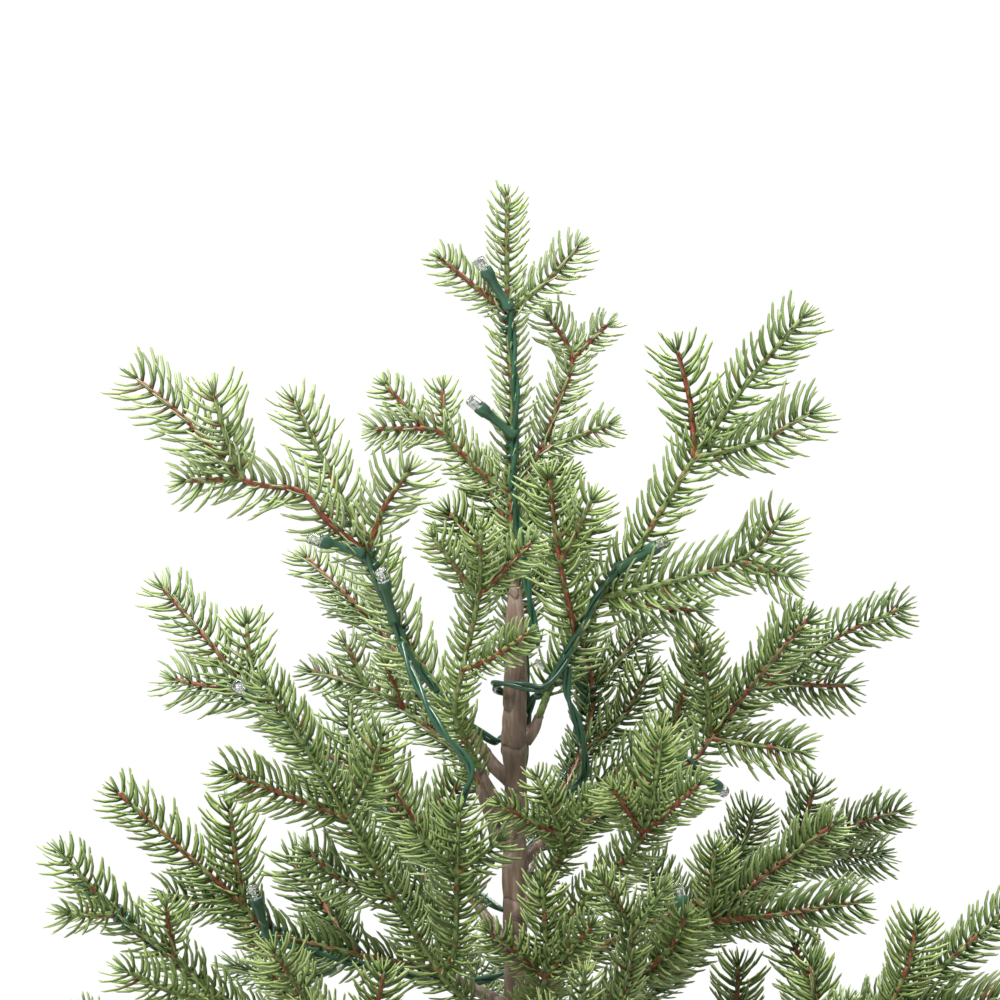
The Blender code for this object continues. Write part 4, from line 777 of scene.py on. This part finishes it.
# for each spray with a lead: its side of the stem, the last stem point that it follows, and for each lamp the
# point that it leaves from and the place that its lens points to (mm, z up from the hinge)
leads = {
    "leader": dict(beside=(0.35, -1, 0), last=3, lamps=((1, (-24, -12, 75)), (3, (-18, -8, 129)))),
    "branch_01": dict(beside=(-0.3, -0.95, 0.1), last=3, lamps=((3, (66, -20, 73)),)),
    "branch_03": dict(beside=(-0.3, -0.95, 0), last=4, lamps=((2, (-51, -19, 74)), (4, (-80, -20, 87)))),
    "branch_06": dict(beside=(-0.5, -0.8, -0.2), last=2, lamps=((2, (-109, 50, 92)),)),
    "branch_07": dict(beside=(0.1, 0.9, -0.4), last=5, lamps=((5, (-172, -18, 104)),)),
    "branch_08": dict(beside=(0, -0.6, -0.8), last=2, lamps=((2, (-101, -14, 46)),)),
    "branch_11": dict(beside=(0.2, 0.7, -0.7), last=2, lamps=((2, (80, 22, 40)),)),
    "branch_13": dict(beside=(0.1, 0.8, -0.6), last=2, lamps=((2, (62, -2, 67)),)),
    "branch_17": dict(beside=(-0.8, 0, -0.6), last=2, lamps=((2, (8, -82, 22)),)),
    "branch_22": dict(beside=(-0.9, 0.2, -0.3), last=2, lamps=((2, (12, 86, 80)),)),
    "branch_24": dict(beside=(-0.9, 0.1, -0.6), last=2, lamps=((2, (56, 122, 60)),)),
    "branch_25": dict(beside=(0.8, 0.2, -0.6), last=2, lamps=((2, (-76, 128, 60)),)),
}
# the lead's climb up the trunk, as (side in degrees, height in mm)
trunkLead = ((46, 182), (40, 200), (50, 216), (86, 232), (92, 250), (70, 270), (58, 290), (74, 304),
             (92, 318), (98, 340), (88, 362), (62, 380), (56, 400), (66, 420))
leadBeside = 3.9 * mm           # from the stem's middle to the lead's


def wireMaterial():
    # extruded PVC: smooth, a little glossy, with a fine orange-peel
    material, tree, shader = newMaterial("greenPvcWire", Roughness=0.28, IOR=1.53, Specular_IOR_Level=0.6)
    tone = ramp(tree, noiseOn(tree, 60), [(0.3, "#234a35"), (0.7, "#2f5c44")])
    tree.links.new(tone, shader.inputs["Base Color"])
    addBump(tree, shader, noiseOn(tree, 700), 0.12, 0.0002)
    return material


def holderMaterial():
    # moulded PVC holder: a touch lighter and more matte than the wire
    material, tree, shader = newMaterial("greenPvcHolder", Roughness=0.40, IOR=1.53)
    tone = ramp(tree, noiseOn(tree, 110), [(0.3, "#2a4f3b"), (0.7, "#386149")])
    tree.links.new(tone, shader.inputs["Base Color"])
    addBump(tree, shader, noiseOn(tree, 1100), 0.2, 0.0002)
    return material


def lensMaterial():
    # clear cast epoxy of an LED
    material, tree, shader = newMaterial("clearEpoxyLens", Roughness=0.05, IOR=1.5, Transmission_Weight=1.0)
    tone = ramp(tree, noiseOn(tree, 300), [(0.3, "#f4f8f6"), (0.7, "#ffffff")])
    tree.links.new(tone, shader.inputs["Base Color"])
    return material


def dieMaterial():
    # tin-plated steel of the LED's stamped leads and cup: pale, satin, seen through the lens
    material, tree, shader = newMaterial("tinnedLeadframe", Roughness=0.35, Metallic=0.25)
    tone = ramp(tree, noiseOn(tree, 900), [(0.3, "#cfd1d0"), (0.6, "#f1f2ee")])
    tree.links.new(tone, shader.inputs["Base Color"])
    return material


wireSkin, holderSkin, lensSkin, dieSkin = wireMaterial(), holderMaterial(), lensMaterial(), dieMaterial()


def pairChunks(points, phase=0.0):
    # two wires on opposite sides of the route, each a helix of one lay
    path, even = smoothPath(points, 1.1 * mm)
    _, side, front = framesAlong(path)
    angle = even / wire["lay"] * 2 * np.pi + phase
    chunks = []
    for half in (0, np.pi):
        turn = np.cos(angle + half)[:, None] * side + np.sin(angle + half)[:, None] * front
        chunks.append(sweep(path + turn * wire["radius"] * 1.02, np.full(len(path), wire["radius"]), 9))
    return chunks


def coilChunk(points):
    # a single wire wound round a stem: a helix about the stem's path
    path, even = smoothPath(points, 0.35 * mm)
    _, side, front = framesAlong(path)
    angle = even / even[-1] * wire["coilTurns"] * 2 * np.pi
    turn = np.cos(angle)[:, None] * side + np.sin(angle)[:, None] * front
    return sweep(path + turn * wire["coilRadius"], np.full(len(path), wire["radius"]), 9)


def leadPoints(name):
    # the first stem's points, moved sideways by the lead's distance, square to the stem
    run = stemRuns(name)[0][1:leads[name]["last"] + 2]
    alongStem = unit(run[-1] - run[0])
    side = np.array(leads[name]["beside"], float)
    side = unit(side - side @ alongStem * alongStem)
    return run + side * leadBeside


# profiles about the lamp's axis, as (distance, radius) in mm
lamp = {"holder": ((0, 0.9), (0.2, 2.3), (1.6, 2.35), (4.2, 1.75), (7, 1.6), (11.5, 1.75), (14.2, 2.15),
                   (15.0, 2.62), (18.0, 2.70), (18.5, 2.55), (18.5, 2.42), (17.2, 2.40)),
        "lens": ((17.4, 2.30), (18.4, 2.38), (22.4, 2.38), (23.1, 2.22), (23.3, 1.8), (23.0, 0.9),
                 (22.9, 0.2)),
        "cup": ((19.6, 0.35), (20.6, 0.5), (21.3, 0.85), (21.4, 0.8), (21.0, 0.2)),
        "post": ((17.5, 0.3), (20.9, 0.3), (21.2, 0.15)), "stand": ((17.5, 0.3), (19.6, 0.3)),
        "seat": ((17.5, 2.1), (17.8, 2.2), (18.0, 2.1)), "off": 0.6 * mm}


def makeLamp(name, index, foot, direction):
    # holder, clear lens and leadframe, all turned about the lamp's axis or beside it
    off = unit(np.cross(unit(np.asarray(direction, float)), [0.3, 0.2, 0.9])) * lamp["off"]

    def turned(shape, sides, shift=0.0):
        return turnedShape(np.array(lamp[shape]) * mm, foot + shift, direction, sides)

    piece = meshFrom(f"{name}_lamp_{index}_holder", [turned("holder", 20)], holderSkin)
    lens = meshFrom(f"{name}_lamp_{index}_lens", [turned("lens", 24)], lensSkin)
    leadframe = [turned("cup", 10, off), turned("post", 6, -off), turned("stand", 6, off), turned("seat", 16)]
    die = meshFrom(f"{name}_lamp_{index}_die", leadframe, dieSkin)
    for part in (piece, lens, die):
        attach(part, name)


def makeLead(name, number):
    # the pair along the stem, its lamps, and a coil of one wire round the stem at each lamp
    lead = leads[name]
    points = leadPoints(name)
    chunks = pairChunks(points, phase=number)
    stem, _ = smoothPath(stemRuns(name)[0], 1.0 * mm)
    for index, (at, lensEnd) in enumerate(lead["lamps"]):
        foot = points[at]
        target = np.array(lensEnd, float) * mm + [0, 0, sprays[name]["height"] * mm]
        makeLamp(name, index, foot, target - foot)
        nearest = int(np.argmin(np.linalg.norm(stem - foot, axis=1)))
        around = stem[max(0, nearest - 8):nearest + 3]
        chunks.append(coilChunk(around))
    pair = meshFrom(f"{name}_lead", chunks, wireSkin)
    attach(pair, name)
    node = "lamp_lead_00" if name == "leader" else name.replace("branch", "lamp_lead")
    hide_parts(node)


def trunkLeadPoint(side, height, reach=8.3 * mm):
    # a point at a side (degrees) and height (mm), at a reach from the trunk's axis
    return np.array([reach * math.cos(math.radians(side)), reach * math.sin(math.radians(side)), height * mm])


def makeTrunkLead():
    # out of the battery box's exit hole (x 14 mm, y 14.9 mm), over to the trunk and up beside it
    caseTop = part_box("battery_case")[1][2]
    climb = [trunkLeadPoint(side, height) for side, height in trunkLead]
    hole = np.array([14 * mm, 14.9 * mm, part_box("trunk_lead")[0][2]])
    above = hole * [1, 1, 0] + [0, 0, caseTop + 1.5 * mm]
    points = [hole, above, above * 0.4 + climb[0] * 0.6 - [0, 0, 1.7 * mm]] + climb
    pair = meshFrom("trunk_lead_pair", pairChunks(points), wireSkin)
    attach(pair, "trunk")
    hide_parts("trunk_lead")


def makeLink(name, number):
    # from the trunk's lead round to a spray's own lead, over the hinge
    azimuth = sprays[name]["azimuth"] if name != "leader" else -60
    hinge = hinges[name]
    heights = [height for _, height in trunkLead]
    sides = [side for side, _ in trunkLead]
    level = min(max(hinge[2] / mm + 4, heights[0]), heights[-1])
    start = float(np.interp(level, heights, sides))
    swing = (azimuth - start + 180) % 360 - 180
    steps = max(2, int(abs(swing) / 35))
    points = [trunkLeadPoint(start, level - 3)]
    for step in range(1, steps + 1):
        share = step / (steps + 1)
        points.append(trunkLeadPoint(start + swing * share, level + 5 * math.sin(share * math.pi), 9.2 * mm))
    target = leadPoints(name)
    points += [0.5 * (points[-1] + target[0]) + [0, 0, -1.5 * mm], target[0]]
    pair = meshFrom(f"{name}_link", pairChunks(points, phase=number), wireSkin)
    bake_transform(pair)


makeTrunkLead()
for number, name in enumerate(leads):
    makeLead(name, number)
    makeLink(name, number)

# loops of the lead that hang between the trunk and a spray, as (x, y, z) in mm from the origin
hangingLoops = {
    "loopUnderBranch01": ("branch_01", ((3, 9, 400), (-6, 6, 403), (-8, -3, 406), (-3, -9, 406.5),
                                        (4, -11, 405.5), (10, -13, 405), (14, -12, 408), (20, -10, 417))),
    "spanFromBranch01": ("branch_01", ((-2, 8.5, 350), (7, 8, 354), (15, 4, 360), (25, 0, 368), (27, -5, 376),
                                       (24, -7, 391), (20, -9, 402), (20, -9, 413))),
    "spanFromBranch03": ("branch_03", ((-9, -4, 338), (-20, -18, 341), (-27, -26, 349), (-20, -30, 364),
                                       (-17, -31, 376), (-28, -29, 390), (-37, -21, 406), (-44, -12, 422))),
}


def makeLoops():
    # each loop is fast to the trunk at one end and to a spray's lead at the other
    for number, (name, (branch, points)) in enumerate(hangingLoops.items()):
        places = np.array(points, float) * mm
        pair = meshFrom(name, pairChunks(places, phase=2 + number), wireSkin)
        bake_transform(pair)


makeLoops()
print("lamp string is wound on")


# weighted base
burlap = {"folds": 23, "threads": 1.6 * mm, "thickness": 0.9 * mm, "foot": 53 * mm,
          "strip": 2 * math.pi * 66.6 * mm}
# the side's outline from the middle of the foot to the lip, as (radius, height) in mm
burlapOutline = ((0, 0.0), (30, 0.0), (50, 0.0), (53.2, 0.6), (57.6, 9), (64.0, 24), (66.6, 38), (66.0, 52),
                 (62.4, 66), (60.3, 72), (59.9, 74.8), (60.6, 78), (62.2, 82), (63.2, 87), (65.0, 94),
                 (68.0, 101.6))


def burlapMaterial():
    # plain-weave jute: coarse flat threads with slubs, dull and hairy, drawn from the UV map, with painted
    # shade between the threads
    material, tree, shader = newMaterial("juteBurlap", Roughness=0.92, IOR=1.45)
    place = addNode(tree, "ShaderNodeUVMap", uv_map="cloth").outputs["UV"]
    parts = addNode(tree, "ShaderNodeSeparateXYZ", links={"Vector": place})
    waves = []
    for axis in ("X", "Y"):
        turns = math2(tree, "MULTIPLY", parts.outputs[axis], 2 * math.pi / burlap["threads"])
        waves.append(math2(tree, "ABSOLUTE", math2(tree, "SINE", turns)))
    weave = math2(tree, "MULTIPLY", waves[0], waves[1])
    slub = noiseOn(tree, 90, 4.0, vector=place, stretch=(1, 6, 1))
    slub2 = noiseOn(tree, 90, 4.0, vector=place, stretch=(6, 1, 1))
    tone = ramp(tree, slub, [(0.25, "#9a7b4f"), (0.5, "#b99b69"), (0.75, "#d6ba8a")])
    tone = mixColor(tree, math2(tree, "MULTIPLY", slub2, 0.6), tone, "#a98a5c")
    # darker between the threads: painted shade in the grooves of the weave
    tone = mixColor(tree, ramp(tree, weave, [(0.0, 0.75), (0.35, 0.0)]), tone, "#4d3922")
    tree.links.new(tone, shader.inputs["Base Color"])
    addBump(tree, shader, math2(tree, "ADD", weave, math2(tree, "MULTIPLY", slub, 0.5)), 0.9, 0.0008)
    return material


def makeBurlap():
    # a round cloth: from the middle it goes over the foot, up the belly, in at the tie and out to the lip.
    # Gathers are cosines of the angle that grow towards the tie and the lip.
    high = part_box("burlap_wrap")[1]
    tieLow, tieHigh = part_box("twine_tie")
    tie = (tieLow[2] + tieHigh[2]) / 2
    outline = np.array(burlapOutline) * mm
    fine, run = smoothPath(np.column_stack([outline, np.zeros(len(outline))]), 1.2 * mm)
    fine = fine[:, :2]
    fine[:, 1] = np.maximum(fine[:, 1], 0)
    angle = np.arange(320) / 320 * 2 * np.pi
    near = np.exp(-((fine[:, 1] - tie) / (17 * mm)) ** 2) * (fine[:, 1] > 6 * mm)
    lip = np.clip((fine[:, 1] - tie) / (high[2] - tie), 0, 1)
    fold = np.cos(burlap["folds"] * angle + 0.9 * np.sin(3 * angle)) + 0.35 * np.cos(11 * angle + 1)
    depth = 0.5 * mm * near + 1.9 * mm * lip**1.5 + 0.5 * mm * np.clip(fine[:, 1] / (50 * mm), 0, 1)
    radius = fine[:, :1] + depth[:, None] * (fold[None] - 0.45)
    ruffle = 1.5 * mm * (lip[:, None] ** 2) * np.cos(7 * angle + 2)[None]
    height = fine[:, 1:] + ruffle - 1.0 * mm * lip[:, None] ** 2
    points = np.stack([radius * np.cos(angle), radius * np.sin(angle), height + 0 * radius], axis=-1)
    rings, sides = radius.shape[0] - 1, radius.shape[1]
    points = points[1:].reshape(-1, 3)
    quads = ringQuads(rings, sides)[:, ::-1]
    j = np.arange(sides)
    middle = np.stack([np.full(sides, len(points)), (j + 1) % sides, j], axis=1)[:, ::-1]
    cloth = meshFrom("burlap_cloth", [{"points": np.vstack([points, [[0, 0, 0]]]), "quads": quads,
                                       "triangles": middle}], burlapMaterial())
    # the cut: a strip as wide as the belly goes round for the side, and a disc for the foot.
    # On the side a point's place is (angle * belly radius, run up the outline), on the disc it is (x, y).
    count, strip = len(cloth.data.loops), burlap["strip"] / 2 / math.pi
    corner = np.empty(count, np.int32)
    cloth.data.loops.foreach_get("vertex_index", corner)
    starts, sizes = (np.empty(len(cloth.data.polygons), np.int32) for _ in range(2))
    cloth.data.polygons.foreach_get("loop_start", starts)
    cloth.data.polygons.foreach_get("loop_total", sizes)
    turn = np.append(np.tile(angle, rings), 0)[corner]
    climb = np.append(np.repeat(run[1:], sides), 0)[corner]
    widest = np.repeat(np.maximum.reduceat(turn, starts), sizes)
    turn = np.where((widest > 5) & (turn < 1), turn + 2 * np.pi, turn)
    xy = np.vstack([points[:, :2], [[0, 0]]])[corner]
    lowest = np.repeat(np.minimum.reduceat(climb, starts), sizes)
    place = np.where((lowest < burlap["foot"])[:, None], xy, np.stack([turn * strip, climb], axis=1))
    cloth.data.uv_layers.new(name="cloth").data.foreach_set("uv", place.astype(np.float32).ravel())
    solid = cloth.modifiers.new("Solidify", "SOLIDIFY")
    solid.thickness = burlap["thickness"]
    solid.offset = 1.0
    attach(cloth, "trunk")
    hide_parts("burlap_wrap")
    height = run[-1] - burlap["foot"]


# three turns of two-ply cord, and the knot's path in mm from the front of the neck
twine = {"turns": 3, "spacing": 2.1 * mm, "plyRadius": 0.62 * mm, "plyOffset": 0.55 * mm, "lay": 5 * mm}
knotPath = ((-6, 0, 4), (-3, -2.4, 2), (1.5, -3.0, 2.2), (3, -1.6, 0), (0.5, -0.8, -2.2), (-2.6, -2.0, -1.6),
            (-2.4, -3.2, 1), (1, -3.4, 0.4), (3.4, -2.0, -2.4), (6, -0.6, -5.4))


def twineMaterial():
    # spun jute: dull, fibrous, straw-brown
    material, tree, shader = newMaterial("juteTwine", Roughness=0.9, IOR=1.45)
    tone = ramp(tree, noiseOn(tree, 500, 4.0), [(0.3, "#7d5f38"), (0.55, "#a1804f"), (0.8, "#c3a472")])
    tree.links.new(tone, shader.inputs["Base Color"])
    addBump(tree, shader, noiseOn(tree, 1800, 4.0), 0.6, 0.0004)
    return material


def makeTwine():
    # two plies laid together, wound three times round the neck and knotted at the front
    low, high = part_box("twine_tie")
    reach = high[0] - 1.1 * mm
    middle = (low[2] + high[2]) / 2
    chunks = []
    for turn in range(twine["turns"]):
        angle = np.linspace(0, 2 * np.pi, 420)
        rise = (turn - 1) * twine["spacing"] + 0.4 * mm * np.sin(5 * angle + turn * 2)
        ring = np.stack([reach * np.cos(angle), reach * np.sin(angle), middle + rise], axis=1)
        outward = ring * [1, 1, 0] / reach
        for half in (0, np.pi):
            twist = angle * reach / twine["lay"] * 2 * np.pi + half
            offset = np.cos(twist)[:, None] * outward + np.sin(twist)[:, None] * [0, 0, 1]
            ply = ring + twine["plyOffset"] * offset
            chunks.append(sweep(ply, np.full(len(ply), twine["plyRadius"]), 7, np.array([0.0, 0, 1])))
    knot = np.array(knotPath) * mm + [0, -reach + 0.3 * mm, middle]
    path, _ = smoothPath(knot, 0.5 * mm)
    chunks.append(sweep(path, np.full(len(path), 1.0 * mm), 9))
    wraps = meshFrom("twine_wraps", chunks, twineMaterial())
    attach(wraps, "trunk")
    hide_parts("twine_tie")


# a strand's length and its radii at the root and half way, in mm
moss = {"rings": 46, "sides": 160, "strands": 5200, "shortest": 2.0, "longest": 4.6, "girths": (0.28, 0.22)}


def mossMaterial():
    # dried moss: dull, fibrous, olive with straw-coloured ends
    material, tree, shader = newMaterial("driedMoss", Roughness=0.95, IOR=1.4)
    tone = ramp(tree, noiseOn(tree, 70, 6.0), [(0.25, "#39421a"), (0.5, "#5f6b2a"), (0.75, "#8a8d47")])
    tree.links.new(tone, shader.inputs["Base Color"])
    addBump(tree, shader, noiseOn(tree, 900, 6.0, 0.7), 1.0, 0.0015)
    return material


def makeMoss():
    # a lumpy mat with thousands of short curved strands
    low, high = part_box("moss_disc")
    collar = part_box("trunk_socket")[1][0] + 0.6 * mm
    outer = high[0] - 0.6 * mm
    rings, sides = moss["rings"], moss["sides"]
    radius = np.linspace(collar, outer, rings)[:, None]
    angle = (np.arange(sides) / sides * 2 * np.pi)[None]

    def lumps(x, y):
        return (1.3 * np.sin(x / (7 * mm) + 1.3) * np.sin(y / (8 * mm)) + 0.9 * np.sin(x / (3.1 * mm)) *
                np.sin(y / (3.7 * mm) + 2) - 1.4) * mm

    x, y = radius * np.cos(angle), radius * np.sin(angle)
    top = high[2] + lumps(x, y) - 0.5 * mm
    surface = np.stack([x, y, top], axis=-1).reshape(-1, 3)
    skirt = np.stack([x[[-1, 0]], y[[-1, 0]], np.full((2, sides), low[2] + 0.2 * mm)], axis=-1).reshape(-1, 3)
    points = np.vstack([surface, skirt])
    quads = ringQuads(rings, sides)[:, [0, 3, 2, 1]]
    j = np.arange(sides)
    after = (j + 1) % sides
    last, outerSkirt, innerSkirt = (rings - 1) * sides, rings * sides, (rings + 1) * sides
    sideQuads = np.stack([last + j, outerSkirt + j, outerSkirt + after, last + after], axis=1)
    underQuads = np.stack([outerSkirt + j, innerSkirt + j, innerSkirt + after, outerSkirt + after], axis=1)
    boreQuads = np.stack([innerSkirt + j, j, after, innerSkirt + after], axis=1)
    mat = {"points": points, "quads": np.vstack([quads, sideQuads, underQuads, boreQuads])}
    count = moss["strands"]
    spot = np.sqrt(random.uniform(collar**2, (outer - 3 * mm) ** 2, count))
    where = random.uniform(0, 2 * np.pi, count)
    root = np.stack([spot * np.cos(where), spot * np.sin(where)], axis=1)
    root = np.column_stack([root, high[2] + lumps(root[:, 0], root[:, 1]) - 1.0 * mm])
    lean = unit(np.column_stack([random.normal(0, 1, (count, 2)), random.uniform(0.5, 1.5, count)]))
    length = random.uniform(moss["shortest"], moss["longest"], count) * mm
    s = np.array([0, 0.5, 1.0])
    droop = np.column_stack([np.zeros((count, 2)), -random.uniform(0.1, 0.6, count)])
    bow = lean[:, None] * s[:, None] + droop[:, None] * s[:, None] ** 2
    centre = root[:, None] + length[:, None, None] * bow
    side = unit(np.cross(lean, [0.2, 0.3, 1.0]))
    front = np.cross(lean, side)
    girth = np.array(moss["girths"]) * mm
    ring = np.stack([side, -0.5 * side + 0.87 * front, -0.5 * side - 0.87 * front], axis=1)
    body = centre[:, :2, None] + ring[:, None] * girth[:, None, None]
    strands = np.concatenate([body.reshape(count, 6, 3), centre[:, 2:]], axis=1)
    one = np.array([[0, 1, 4, 3], [1, 2, 5, 4], [2, 0, 3, 5]])
    tips = np.array([[3, 4, 6], [4, 5, 6], [5, 3, 6], [2, 1, 0]])
    offset = np.arange(count)[:, None, None] * 7
    tufts = {"points": strands.reshape(-1, 3), "quads": (one[None] + offset).reshape(-1, 4),
             "triangles": (tips[None] + offset).reshape(-1, 3)}
    cover = meshFrom("moss_mat", [mat, tufts], mossMaterial())
    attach(cover, "trunk")
    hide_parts("moss_disc")


makeBurlap()
makeTwine()
makeMoss()
print("base is dressed")


# finishes of the parts that keep their own shape
# moulded plastics keep a fine grain from the tool; drawn and plated metals keep fine lines
def plasticFinish(name, dark, light, roughness, grain=1500, strength=0.25):
    material, tree, shader = newMaterial(name, Roughness=roughness, IOR=1.53)
    tree.links.new(ramp(tree, noiseOn(tree, 45), [(0.3, dark), (0.7, light)]), shader.inputs["Base Color"])
    addBump(tree, shader, noiseOn(tree, grain, 2.0), strength, 0.0002)
    return material


def cementMaterial():
    # cast cement: grey, dusty, full of small pits
    material, tree, shader = newMaterial("castCement", Roughness=0.92)
    tone = ramp(tree, noiseOn(tree, 140, 7.0, 0.7), [(0.3, "#7d7a73"), (0.7, "#a7a49b")])
    tree.links.new(tone, shader.inputs["Base Color"])
    addBump(tree, shader, noiseOn(tree, 900, 6.0, 0.7), 0.8, 0.0008)
    return material


def metalFinish(name, dark, light, roughness, stretch):
    material, tree, shader = newMaterial(name, Roughness=roughness, Metallic=1.0)
    grain = noiseOn(tree, 1200, 3.0, stretch=stretch)
    tree.links.new(ramp(tree, grain, [(0.3, dark), (0.7, light)]), shader.inputs["Base Color"])
    addBump(tree, shader, grain, 0.2, 0.0001)
    return material


def cellMaterial():
    # printed sleeve: dark body with a copper-coloured band at the button end
    material, tree, shader = newMaterial("printedCellSleeve", Roughness=0.25, Metallic=0.4)
    low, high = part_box("battery_cell_1")
    height = addNode(tree, "ShaderNodeSeparateXYZ",
                     links={"Vector": addNode(tree, "ShaderNodeTexCoord").outputs["Object"]}).outputs["Z"]
    share = math2(tree, "DIVIDE", math2(tree, "SUBTRACT", height, low[2]), high[2] - low[2])
    band = ramp(tree, share, [(0.66, "#1d1f22"), (0.68, "#a5703c")])
    wear = mixColor(tree, ramp(tree, noiseOn(tree, 300, 5.0), [(0.55, 0.0), (0.8, 0.25)]), band, "#c9b9a4")
    tree.links.new(wear, shader.inputs["Base Color"])
    return material


def finishCad():
    finishes = {
        "base_tub": plasticFinish("blackPolypropylene", "#141414", "#1e1e1e", 0.5),
        "cement_ballast": cementMaterial(),
        "trunk_socket": plasticFinish("greenPolypropyleneSocket", "#1b3527", "#264534", 0.5),
        "trunk_rod": metalFinish("drawnSteelRod", "#8b8d90", "#c4c6c8", 0.35, (1, 1, 0.05)),
        "battery_case": plasticFinish("greenAbsCase", "#173626", "#204632", 0.42, 2200, 0.35),
        "battery_cover": plasticFinish("greenAbsCover", "#193a29", "#224a35", 0.42, 2200, 0.35),
        "switch_slider": plasticFinish("blackAbsSwitch", "#101010", "#1a1a1a", 0.38),
        "case_strap": plasticFinish("greenNylonTie", "#1c3f2c", "#2a5a40", 0.45),
        "contact_springs": metalFinish("nickelSpring", "#b9b4a8", "#e2ddd0", 0.25, (1, 1, 1)),
        "contact_plate": metalFinish("nickelPlate", "#b9b4a8", "#e2ddd0", 0.25, (0.1, 1, 1)),
    }
    cell = cellMaterial()
    for index in (1, 2, 3):
        finishes[f"battery_cell_{index}"] = cell
    for node, material in finishes.items():
        frame["nodes"][node].data.materials.clear()
        frame["nodes"][node].data.materials.append(material)


finishCad()
print("finishes are on")
